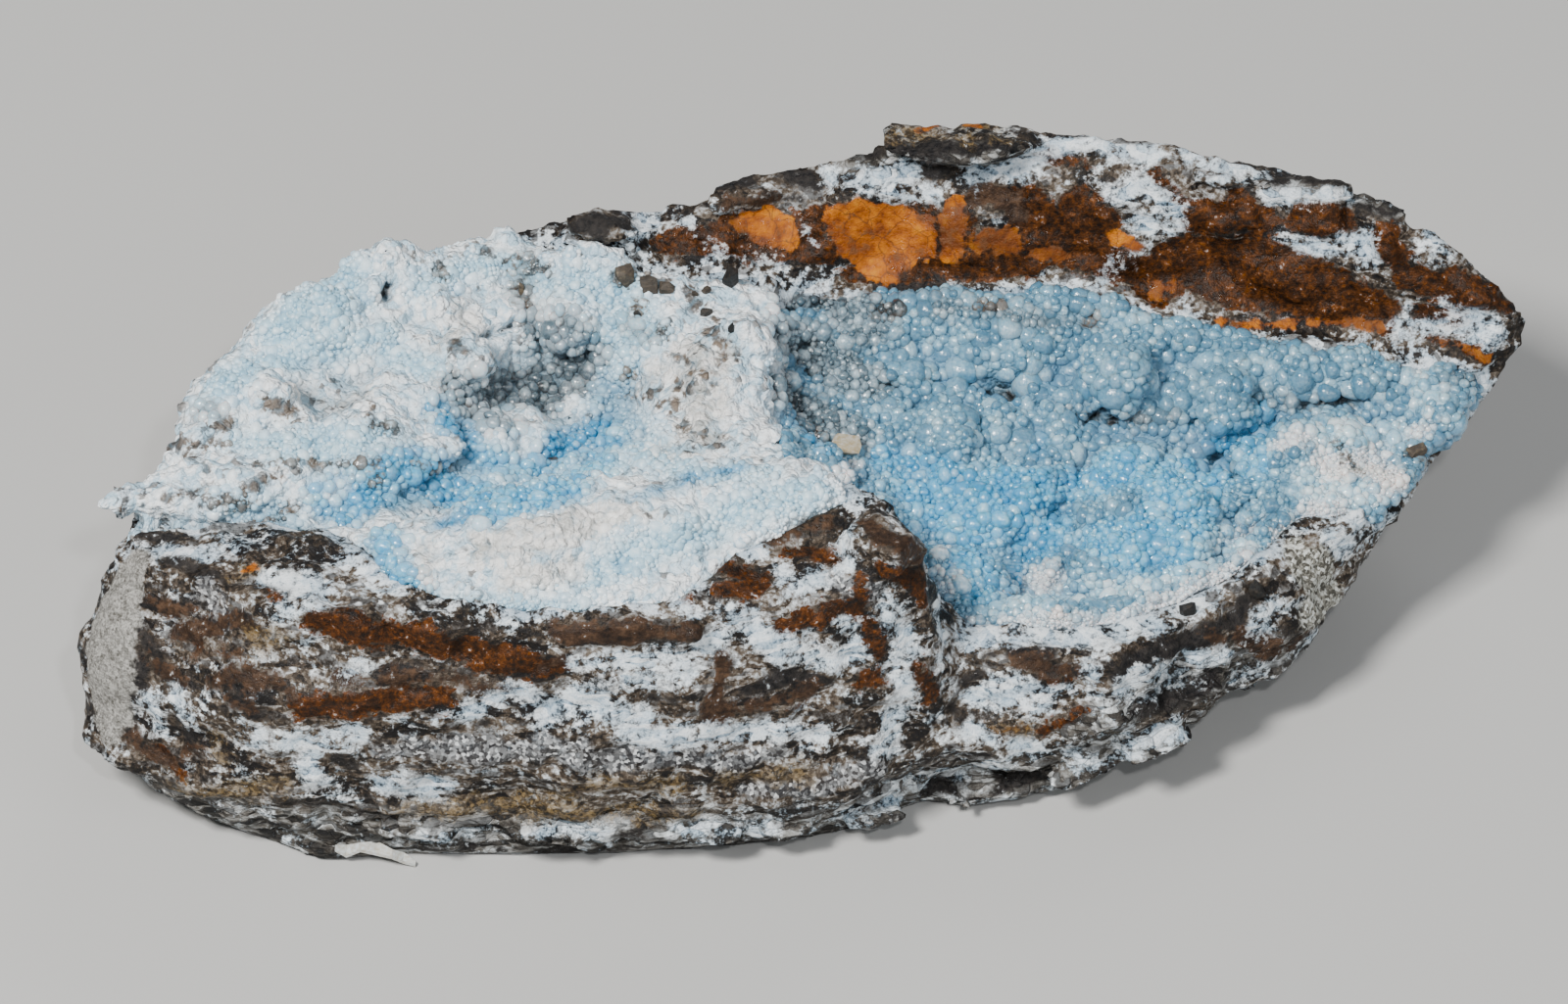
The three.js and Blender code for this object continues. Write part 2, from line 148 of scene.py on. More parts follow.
def lump(size, turn, place, seed):
    """An angular lump of a size, as the hull of points scattered on a rounded block."""
    draw = np.random.default_rng(seed)
    points = draw.uniform(-1, 1, (26, 3))
    points /= np.abs(points).max(axis=1, keepdims=True) * draw.uniform(1.0, 1.25, (26, 1))
    body = bmesh.new()
    spin = Euler((0, 0, math.radians(turn))).to_matrix()
    for point in points.tolist():
        body.verts.new(place + spin @ Vector([value * side * MM / 2 for value, side in
                                              zip(point, size)]))
    bmesh.ops.convex_hull(body, input=body.verts)
    inner = [vertex for vertex in body.verts if not vertex.link_faces]
    bmesh.ops.delete(body, geom=inner, context="VERTS")
    bmesh.ops.recalc_face_normals(body, faces=body.faces)
    return body


def add_body(whole, body):
    """Adds one bmesh's faces to another, and frees it."""
    passing = bpy.data.meshes.new("passing")
    body.to_mesh(passing)
    body.free()
    whole.from_mesh(passing)
    bpy.data.meshes.remove(passing)


def even_mesh(name, whole, grain, softening):
    """A piece in even faces over closed bodies that may cut into each other."""
    piece = bpy.data.objects.new(name, bpy.data.meshes.new(name))
    whole.to_mesh(piece.data)
    whole.free()
    bpy.context.scene.collection.objects.link(piece)
    remesh = piece.modifiers.new("even_faces", "REMESH")
    remesh.mode = "VOXEL"
    remesh.voxel_size = grain
    smooth = piece.modifiers.new("softened", "SMOOTH")
    smooth.factor = 0.5
    smooth.iterations = softening
    shaped = bpy.data.meshes.new_from_object(
        piece.evaluated_get(bpy.context.evaluated_depsgraph_get()))
    piece.modifiers.clear()
    piece.data = shaped
    piece.data.name = name
    piece.data.materials.clear()
    piece.data.polygons.foreach_set("use_smooth", [True] * len(piece.data.polygons))
    return piece


def spots(mesh):
    """The vertices of a mesh and their normals, as two arrays."""
    places = np.zeros(len(mesh.vertices) * 3, np.float32)
    mesh.vertices.foreach_get("co", places)
    normals = np.zeros(len(mesh.vertices) * 3, np.float32)
    mesh.vertex_normals.foreach_get("vector", normals)
    return places.reshape(-1, 3), normals.reshape(-1, 3)


def ease(value, low, high):
    """0 below low, 1 above high and a smooth rise between, for arrays and numbers."""
    share = np.clip((value - low) / (high - low), 0, 1)
    return share * share * (3 - 2 * share)


# Where each kind of stone shows on the rock. A stroke is a run of points, each with the two
# coordinates of a pixel of the photograph and the stroke's half width there, in pixels.
STONE = {
    "limonite": [
        [(762, 228, 12), (780, 234, 20), (800, 240, 14)],
        [(860, 222, 20), (885, 238, 34), (912, 244, 34), (928, 238, 20)],
        [(895, 268, 20), (908, 276, 14)],
        [(946, 230, 12), (948, 256, 11)],
        [(974, 210, 13), (973, 234, 15), (970, 256, 12)],
        [(1004, 246, 13), (1030, 246, 14)],
        [(1056, 258, 9), (1080, 262, 9)],
        [(1140, 244, 8), (1160, 250, 8)],
        [(1176, 294, 5), (1192, 296, 5)],
        [(1245, 328, 5), (1275, 330, 4), (1350, 330, 4), (1410, 333, 4)],
        [(1460, 345, 3), (1490, 354, 3), (1520, 366, 4)],
        [(940, 130, 5), (975, 122, 8), (1000, 130, 5)],
        [(1028, 122, 8), (1046, 127, 7)],
        [(250, 580, 3), (258, 577, 5)],
    ],
    "rust": [
        [(682, 250, 14), (712, 246, 18), (742, 238, 18)],
        [(742, 254, 12), (800, 254, 14), (846, 256, 16)],
        [(820, 236, 20), (846, 214, 10)],
        [(870, 280, 10), (930, 272, 16), (990, 268, 16), (1050, 268, 16)],
        [(935, 222, 14), (960, 245, 24), (985, 225, 16)],
        [(1050, 205, 22), (1062, 238, 30), (1105, 250, 30), (1150, 272, 17), (1190, 290, 18)],
        [(1100, 208, 18), (1130, 224, 16)],
        [(1190, 262, 20), (1240, 274, 38), (1300, 286, 40), (1360, 300, 34), (1410, 318, 18)],
        [(1225, 222, 16), (1256, 215, 24), (1290, 228, 18)],
        [(1326, 222, 15), (1350, 228, 18), (1376, 226, 10)],
        [(1412, 238, 15), (1425, 264, 15)],
        [(1436, 284, 16), (1476, 292, 20), (1520, 300, 20), (1545, 308, 10)],
        [(1452, 318, 9), (1490, 328, 9)],
        [(1460, 342, 5), (1496, 356, 5), (1520, 366, 7)],
        [(318, 632, 13), (345, 640, 19), (400, 650, 18), (450, 658, 17), (500, 670, 18),
         (548, 682, 15), (572, 686, 10)],
        [(310, 722, 13), (350, 722, 17), (400, 716, 16), (452, 712, 11)],
        [(198, 650, 6), (210, 662, 5)],
        [(272, 604, 5), (284, 612, 5)],
        [(160, 764, 6), (180, 790, 6)],
        [(715, 564, 6), (740, 580, 10), (778, 592, 12)],
        [(735, 604, 8), (772, 600, 9)],
        [(680, 612, 5), (700, 610, 5)],
        [(798, 560, 7), (830, 562, 9), (852, 570, 8)],
        [(798, 642, 8), (830, 632, 11), (852, 618, 9)],
        [(878, 590, 8), (872, 620, 9), (890, 645, 10), (902, 668, 9)],
        [(905, 584, 10), (935, 592, 11), (944, 612, 9)],
        [(935, 680, 9), (950, 712, 11)],
        [(880, 700, 8), (896, 696, 9)],
        [(1068, 692, 5), (1096, 697, 5)],
        [(1010, 742, 5), (1046, 744, 4)],
        [(1062, 746, 6), (1100, 728, 6)],
        [(1180, 178, 7), (1192, 198, 7), (1208, 202, 6)],
        [(1062, 162, 6), (1110, 168, 5), (1075, 152, 4)],
        [(893, 314, 5), (918, 316, 5)],
    ],
    "sienna": [
        [(955, 215, 8), (974, 234, 16), (1004, 246, 16), (1030, 246, 16), (1080, 262, 12)],
        [(748, 228, 6), (760, 250, 8), (800, 262, 8)],
        [(1176, 294, 7), (1410, 333, 7)],
        [(1460, 345, 4), (1520, 366, 5)],
    ],
    "umber": [
        [(745, 205, 7), (788, 206, 7)],
        [(990, 208, 10), (1012, 196, 13), (1034, 204, 18), (1040, 216, 14)],
        [(564, 642, 7), (590, 648, 13), (640, 648, 16), (692, 648, 13), (714, 650, 9)],
        [(560, 684, 8), (570, 672, 7)],
        [(738, 672, 5), (735, 700, 9), (728, 730, 11), (748, 726, 7)],
        [(756, 722, 6), (797, 714, 9), (828, 704, 6)],
        [(788, 548, 7), (820, 540, 9), (848, 532, 11)],
        [(888, 530, 9), (905, 548, 14), (930, 562, 15), (944, 582, 11)],
        [(152, 616, 6), (186, 625, 8), (205, 618, 4)],
        [(180, 650, 6), (205, 644, 10), (236, 636, 9), (266, 642, 5)],
        [(190, 668, 4), (228, 662, 7), (244, 666, 4)],
        [(148, 664, 6), (166, 684, 9), (192, 698, 5)],
        [(214, 698, 5), (240, 690, 9), (276, 696, 7), (298, 712, 4)],
        [(236, 716, 5), (262, 722, 6)],
        [(124, 742, 6), (146, 764, 9), (168, 778, 6), (204, 762, 5)],
        [(345, 694, 6), (400, 692, 8), (450, 694, 7), (520, 704, 6)],
        [(1035, 674, 8), (1062, 682, 11), (1090, 684, 10)],
        [(1230, 652, 6), (1272, 650, 10), (1305, 668, 12), (1330, 650, 8)],
    ],
    "dark": [
        [(588, 236, 10), (610, 222, 16), (634, 220, 16), (640, 206, 9), (612, 240, 12)],
        [(700, 196, 12), (750, 186, 16), (800, 176, 14), (838, 186, 9)],
        [(700, 218, 6), (722, 206, 8)],
        [(760, 203, 5), (840, 200, 5)],
        [(892, 154, 10), (950, 152, 13), (1000, 150, 12), (1034, 148, 8)],
        [(948, 178, 10), (970, 172, 8)],
        [(892, 295, 6), (948, 295, 6)],
        [(1300, 184, 8), (1345, 184, 9), (1375, 188, 7)],
        [(1277, 184, 4), (1270, 196, 4)],
        [(1390, 212, 8), (1425, 218, 8)],
        [(170, 570, 7), (200, 580, 8), (230, 590, 6)],
        [(128, 745, 9), (150, 650, 9), (165, 680, 11)],
        [(225, 628, 7), (262, 632, 6)],
        [(240, 700, 7), (262, 726, 8), (290, 735, 6)],
        [(180, 735, 8), (200, 770, 7)],
        [(262, 600, 8), (290, 606, 6)],
        [(345, 690, 4), (420, 684, 4), (480, 690, 4)],
        [(598, 696, 5), (630, 700, 5)],
        [(518, 720, 6), (540, 724, 8), (560, 714, 6)],
        [(490, 743, 4), (496, 744, 4)],
        [(665, 715, 5), (688, 716, 5)],
        [(756, 706, 4), (800, 690, 9), (842, 696, 8)],
        [(975, 722, 8), (980, 736, 7)],
        [(985, 692, 7), (998, 688, 7)],
        [(1008, 668, 7), (1040, 664, 6), (1070, 668, 6), (1100, 690, 8)],
        [(1136, 690, 9), (1150, 682, 12), (1190, 668, 13), (1230, 650, 12), (1262, 634, 11),
         (1280, 606, 9)],
        [(1306, 636, 5), (1322, 646, 6)],
        [(1150, 728, 7), (1190, 716, 12), (1236, 698, 12)],
        [(1022, 800, 10), (1062, 796, 10)],
        [(950, 808, 6), (1020, 812, 5)],
        [(640, 848, 9), (672, 845, 7)],
        [(254, 804, 4), (294, 820, 4), (350, 831, 5), (400, 840, 4)],
        [(430, 866, 4), (560, 870, 4), (700, 866, 4), (790, 858, 4)],
        [(870, 840, 5), (940, 826, 4)],
        # Painted shadow: the dark strip on the rock under the crust's overhanging left tip.
        [(110, 540, 5), (150, 543, 7), (180, 548, 6)],
        [(345, 775, 11), (360, 780, 9)],
    ],
    "ochre": [
        [(922, 134, 6), (950, 126, 9), (975, 124, 10), (1002, 130, 7), (1034, 122, 13),
         (1046, 128, 9)],
        [(890, 144, 3), (940, 136, 4), (1000, 140, 3), (1036, 144, 4)],
        [(885, 154, 5), (864, 160, 4)],
        [(585, 806, 8), (640, 802, 11), (692, 804, 10)],
        [(400, 828, 6), (460, 824, 9), (520, 822, 12), (580, 816, 11)],
        [(545, 832, 8), (620, 830, 9), (705, 830, 7)],
        [(740, 796, 10), (800, 795, 10), (826, 790, 8)],
        [(1014, 742, 4), (1042, 745, 4)],
        [(178, 806, 8), (240, 810, 12), (292, 800, 9)],
        [(262, 654, 7), (286, 652, 8)],
        [(238, 586, 5), (258, 580, 6)],
        [(220, 752, 6), (226, 770, 6)],
    ],
    "white": [
        [(650, 196, 9), (662, 214, 10), (655, 236, 9)],
        [(815, 166, 8), (850, 152, 11), (884, 146, 8)],
        [(848, 182, 9), (890, 184, 10), (936, 180, 9)],
        [(985, 172, 10), (1022, 168, 11), (1060, 165, 10), (1090, 145, 10), (1140, 146, 11),
         (1180, 158, 9)],
        [(900, 200, 7), (930, 205, 8), (950, 196, 7)],
        [(700, 226, 5), (735, 262, 4), (790, 262, 6)],
        [(822, 232, 4), (830, 246, 5)],
        [(1140, 200, 10), (1170, 190, 12), (1200, 214, 12), (1192, 236, 10), (1160, 222, 8)],
        [(1212, 160, 8), (1250, 170, 9), (1290, 176, 8)],
        [(1240, 184, 9), (1264, 182, 9)],
        [(1300, 200, 9), (1345, 202, 8), (1385, 205, 6)],
        [(1318, 246, 5), (1360, 252, 7), (1392, 242, 11), (1396, 262, 10)],
        [(1440, 226, 9), (1462, 240, 9), (1466, 262, 7)],
        [(1424, 335, 9), (1470, 332, 12), (1510, 330, 12), (1526, 345, 7)],
        [(1470, 310, 6), (1502, 316, 6)],
        [(270, 592, 12), (300, 596, 16), (330, 612, 12), (292, 625, 9)],
        [(165, 560, 8), (200, 562, 7), (240, 560, 8)],
        [(130, 725, 9), (152, 720, 8), (165, 745, 9)],
        [(180, 706, 6), (192, 734, 6)],
        [(266, 756, 8), (310, 758, 10), (370, 750, 9)],
        [(310, 765, 11), (318, 800, 10)],
        [(388, 800, 10), (420, 806, 16), (452, 806, 12)],
        [(350, 690, 4), (372, 680, 4)],
        [(478, 728, 10), (520, 704, 8), (560, 730, 12), (590, 706, 10), (620, 724, 12),
         (660, 732, 10)],
        [(585, 678, 7), (640, 676, 9), (702, 676, 9), (730, 650, 9), (742, 632, 9)],
        [(600, 700, 6), (700, 690, 8)],
        [(680, 590, 6), (700, 630, 6), (770, 622, 6)],
        [(770, 640, 10), (790, 665, 13), (850, 672, 12), (880, 670, 7)],
        [(640, 748, 12), (700, 750, 14), (760, 745, 12), (840, 750, 10)],
        [(795, 585, 8), (815, 604, 10), (838, 592, 7)],
        [(862, 558, 9), (868, 545, 7), (856, 580, 7)],
        [(848, 625, 4), (868, 642, 5), (884, 632, 4)],
        [(1150, 722, 4), (1190, 708, 6), (1225, 696, 4)],
        [(1128, 282, 5), (1152, 262, 8), (1168, 250, 6)],
        [(905, 620, 8), (920, 640, 9), (925, 700, 10), (912, 740, 10), (900, 770, 9)],
        [(955, 600, 7), (960, 650, 8), (962, 690, 7)],
        [(545, 850, 7), (600, 847, 7), (626, 842, 5)],
        [(688, 848, 5), (740, 846, 6), (788, 846, 5)],
        [(430, 851, 5), (480, 856, 6)],
        [(850, 836, 5), (890, 829, 6), (918, 815, 6)],
        [(935, 800, 6), (970, 790, 8), (1022, 776, 8)],
        [(985, 652, 12), (1040, 648, 14), (1110, 650, 12), (1150, 648, 10), (1180, 640, 9)],
        [(1000, 710, 10), (1035, 706, 17), (1058, 716, 12), (1090, 704, 6)],
        [(990, 745, 8), (1040, 764, 8), (1080, 765, 7)],
        [(1280, 645, 8), (1292, 632, 12), (1300, 620, 7)],
        [(1144, 696, 9), (1180, 686, 9), (1196, 690, 7)],
        [(1205, 676, 7), (1250, 668, 8)],
        [(1110, 676, 5), (1122, 700, 6)],
        [(1146, 768, 9), (1180, 755, 10), (1208, 748, 7)],
        [(1090, 772, 8), (1122, 780, 8)],
        [(970, 816, 4), (1012, 820, 4), (1062, 812, 4)],
        [(1272, 692, 4), (1310, 670, 4), (1345, 650, 4)],
        [(1362, 546, 7), (1376, 560, 8)],
    ],
    "schist": [
        [(1100, 745, 16), (1150, 720, 22), (1200, 700, 26), (1260, 680, 26), (1320, 660, 18)],
        [(960, 795, 14), (1050, 790, 22), (1130, 765, 22), (1200, 755, 12)],
        [(430, 858, 8), (560, 856, 12), (700, 850, 12), (800, 846, 10), (900, 826, 10)],
        [(880, 165, 16), (960, 160, 20), (1030, 155, 16)],
        [(1300, 188, 14), (1380, 196, 14), (1430, 216, 12)],
    ],
    "grey": [
        [(132, 582, 22), (116, 625, 32), (108, 672, 36), (108, 716, 32), (112, 742, 18)],
    ],
    "lumpy": [
        [(1322, 556, 14), (1345, 582, 26), (1356, 612, 24), (1330, 632, 14)],
    ],
    "glitter": [
        [(392, 766, 10), (450, 765, 17), (520, 765, 18), (580, 770, 17), (640, 776, 13)],
        [(640, 776, 13), (720, 776, 11), (800, 772, 11)],
        [(760, 812, 12), (830, 802, 13), (900, 785, 13)],
        [(720, 190, 8), (690, 208, 6)],
        [(210, 610, 16), (230, 640, 12)],
        [(860, 600, 10), (850, 590, 8), (890, 600, 10)],
    ],
}


def laid(strokes, tree):
    """Points along strokes where they lie on a tree's faces, and the half width at each."""
    places = []
    reaches = []
    for stroke in strokes:
        for (u0, v0, r0), (u1, v1, r1) in zip(stroke, stroke[1:]):
            steps = max(1, int(math.hypot(u1 - u0, v1 - v0) / (0.5 * min(r0, r1))))
            for i in range(steps + 1):
                t = i / steps
                hit = on_specimen(u0 + (u1 - u0) * t, v0 + (v1 - v0) * t, tree)[0]
                if hit is not None:
                    places.append(hit)
                    reaches.append((r0 + (r1 - r0) * t) * PIXEL)
    return np.array(places, np.float32), np.array(reaches, np.float32)


def wandered(places):
    """Places pushed aside by smooth noise, so that what is laid on them gets a ragged outline."""
    moved = places.copy()
    for size, reach in ((4.5, 0.7), (1.4, 0.45)):
        moved += reach * MM * np.array(
            [noise.noise_vector(Vector(place) / (size * MM)) for place in places.tolist()])
    return moved


def margins(kinds, places, tree):
    """For each kind, how far inside its strokes on a tree each place is, in mm, or below 0."""
    found = {}
    for kind, strokes in kinds.items():
        inside = np.full(len(places), -3.0, np.float32)
        for centre, reach in zip(*laid(strokes, tree)):
            inside = np.maximum(inside, (reach - np.linalg.norm(places - centre, axis=1)) / MM)
        found[kind] = inside
    return found


def keep(piece, name, values):
    """Stores one number at each vertex of a piece, for its material to read."""
    attribute = piece.data.attributes.new(name, "FLOAT", "POINT")
    attribute.data.foreach_set("value", np.asarray(values, np.float32))


def nearness(tree, places, reach):
    """1 where a place touches a tree's faces, falling to 0 at reach and beyond."""
    found = (tree.find_nearest(Vector(place), reach)[3] for place in places.tolist())
    return np.array([0 if gap is None else 1 - gap / reach for gap in found], np.float32)


def slabs(at, breadth, height):
    """How a stack of broken slabs stands out at a point, -1 to 1, and 0 to 1 in the joints."""
    sway = 1.4 * noise.noise(at * 0.06) + 0.4 * noise.noise(at * 0.3)
    bedded = Vector((at.x / breadth, at.y / breadth, (at.z + sway) / height))
    gaps, seeds = noise.voronoi(bedded)
    return noise.cell(seeds[0] * 7.3), 1 - min(1.0, (gaps[1] - gaps[0]) * 5)


def knobs(at, breadth):
    """Round knobs of a breadth that touch, from about 0.5 at their tops to -0.4 between them."""
    return 0.5 - noise.voronoi(at / breadth)[0][0]


whole = bmesh.new()
add_body(whole, merged_copy("host_rock"))
for node in CRUSTS:
    swollen = merged_copy(node)
    for vertex in swollen.verts:
        vertex.co += vertex.normal * SEAM * 1.3
    add_body(whole, swollen)
for seed, (pixel, size, turn, sunk) in enumerate(OUTCROPS):
    place, normal = on_specimen(*pixel)
    add_body(whole, lump(size, turn, place - normal * sunk * MM, seed))
rock = even_mesh("rock", whole, ROCK_GRAIN, 3)
places, normals = spots(rock.data)
rock_paint = margins(STONE, wandered(places), tree_of(rock))
beside_crust = nearness(crust_tree, places, 3 * MM)
under_crust = 1 - nearness(rock_tree, places, 2.4 * MM)
under_crust = ease(under_crust, 0.15, 0.85) * ease(beside_crust, 0.5, 0.7)
bare_wall = np.maximum.reduce([rock_paint[kind] for kind in ("limonite", "rust", "umber", "dark")])
beside_crust *= 1 - 0.9 * ease(bare_wall, -1.6, -0.2)
raised = np.zeros(len(places), np.float32)
for i, (place, normal) in enumerate(zip(places.tolist(), normals.tolist())):
    at = Vector(place) / MM
    steep = 0.35 + 0.65 * (1 - abs(normal[2]))
    smooth = ease(rock_paint["limonite"][i], -0.6, 0.4)
    plain = max(smooth, ease(rock_paint["umber"][i], -0.4, 0.4),
                ease(rock_paint["grey"][i], -0.5, 0.5))
    layered = max(ease(rock_paint["schist"][i], -1, 1), ease(-at.z, -9, -5))
    rusty = ease(rock_paint["rust"][i], -0.6, 0.6) * (1 - smooth)
    slab, slab_joint = slabs(at, 12, 3.2)
    leaf, leaf_joint = slabs(at, 4.5, 1.1)
    rough = ((0.35 + 0.65 * layered) * (steep * (0.75 * slab + 0.32 * leaf) - 0.7 * slab_joint
                                        - 0.25 * leaf_joint)
             + (1 - layered) * (0.8 * knobs(at, 5) + 0.5 * knobs(at, 2.2))
             + 0.45 * noise.noise(at * 0.4))
    raised[i] = (rough * (1 - 0.75 * plain) * (1 - 0.45 * rusty) + 0.55 * noise.noise(at * 0.16)
                 + rusty * (1.5 * knobs(at, 4.2) + 0.6 * knobs(at, 1.6))
                 + 0.3 * knobs(at, 1.3) * (1 - plain) + 0.16 * noise.noise(at * 1.1))
raised = raised * (1 - under_crust) - 2.8 * under_crust
raised *= ease(places[:, 2], 0.3 * MM, 2.5 * MM)
places += normals * raised[:, None] * MM
places[:, 2] = np.maximum(places[:, 2], 0)
rock.data.vertices.foreach_set("co", places.ravel())
rock.data.update()
for kind, values in rock_paint.items():
    keep(rock, kind, values)
keep(rock, "beside_crust", beside_crust)


class Tone:
    """A socket in a material. Arithmetic on it adds Math nodes, and node() adds any other."""

    def __init__(self, tree, socket=None):
        self.tree = tree
        self.socket = socket

    def node(self, kind, settings=None, sockets=None, output=0):
        """A new node of a kind, with its settings made first and then its sockets' values."""
        new = self.tree.nodes.new(kind)
        for name, value in (settings or {}).items():
            if name == "stops":
                ramp = new.color_ramp.elements
                while len(ramp) < len(value):
                    ramp.new(0.5)
                for stop, (position, colour) in zip(ramp, value):
                    stop.position = position
                    stop.color = (*colour, 1)
            else:
                setattr(new, name, value)
        for name, value in (sockets or {}).items():
            if isinstance(value, Tone):
                self.tree.links.new(value.socket, new.inputs[name])
            else:
                new.inputs[name].default_value = value
        return Tone(self.tree, new.outputs[output])

    def sum(self, operation, first, second):
        return self.node("ShaderNodeMath", {"operation": operation}, {0: first, 1: second})

    def __add__(self, other):
        return self.sum("ADD", self, other)

    def __radd__(self, other):
        return self.sum("ADD", other, self)

    def __sub__(self, other):
        return self.sum("SUBTRACT", self, other)

    def __rsub__(self, other):
        return self.sum("SUBTRACT", other, self)

    def __mul__(self, other):
        return self.sum("MULTIPLY", self, other)

    def __rmul__(self, other):
        return self.sum("MULTIPLY", other, self)

    def larger(self, other):
        return self.sum("MAXIMUM", self, other)

    def step(self, low, high):
        """0 below low, 1 above high and a smooth rise between."""
        return self.node("ShaderNodeMapRange", {"interpolation_type": "SMOOTHSTEP"},
                         {"Value": self, "From Min": low, "From Max": high})

    def between(self, low, high):
        """A colour from low, where this is 0, to high, where it is 1."""
        colours = [value if isinstance(value, Tone) else (*value, 1) for value in (low, high)]
        return self.node("ShaderNodeMix", {"data_type": "RGBA"},
                         {0: self, 6: colours[0], 7: colours[1]}, output=2)

    def ramp(self, *stops):
        return self.node("ShaderNodeValToRGB", {"stops": stops}, {"Fac": self})

    def kept(self, name):
        """A number that keep() stored."""
        return self.node("ShaderNodeAttribute", {"attribute_name": name}, output=2)

    def scaled(self, x, y, z):
        """Object coordinates in millimetres, each axis multiplied."""
        coordinates = self.node("ShaderNodeTexCoord", output=3)
        return self.node("ShaderNodeVectorMath", {"operation": "MULTIPLY"},
                         {0: coordinates, 1: (x / MM, y / MM, z / MM)})

    def apart(self, axis):
        """One axis of coordinates."""
        return self.node("ShaderNodeSeparateXYZ", None, {"Vector": self}, output=axis)

    def bent(self, at, scale, reach):
        """Coordinates pushed about by smooth noise."""
        sway = self.node("ShaderNodeTexNoise", None, {"Vector": at, "Scale": scale, "Detail": 1},
                         output=1)
        return self.node("ShaderNodeVectorMath", {"operation": "MULTIPLY_ADD"},
                         {0: sway, 1: (reach, reach, reach), 2: at})

    def cloud(self, at, scale, detail=4, roughness=0.55):
        return self.node("ShaderNodeTexNoise", None,
                         {"Vector": at, "Scale": scale, "Detail": detail, "Roughness": roughness})

    def cells(self, at, scale, feature="F1"):
        return self.node("ShaderNodeTexVoronoi", {"feature": feature},
                         {"Vector": at, "Scale": scale})

    def picks(self, at, scale):
        """A random number from 0 to 1 for each cell."""
        colours = self.node("ShaderNodeTexVoronoi", None, {"Vector": at, "Scale": scale}, output=1)
        return self.node("ShaderNodeSeparateColor", None, {"Color": colours})


def finish_of(name, constants):
    """A new material, its shader with some constants set, and a first Tone in its tree."""
    material = bpy.data.materials.new(name)
    material.use_nodes = True
    shader = material.node_tree.nodes["Principled BSDF"]
    for socket, value in constants.items():
        shader.inputs[socket].default_value = value
    return material, shader, Tone(material.node_tree)


def feed(shader, **tones):
    """Links tones to the shader's sockets; a name's underscores stand for spaces."""
    for name, tone in tones.items():
        tone.tree.links.new(tone.socket, shader.inputs[name.replace("_", " ")])


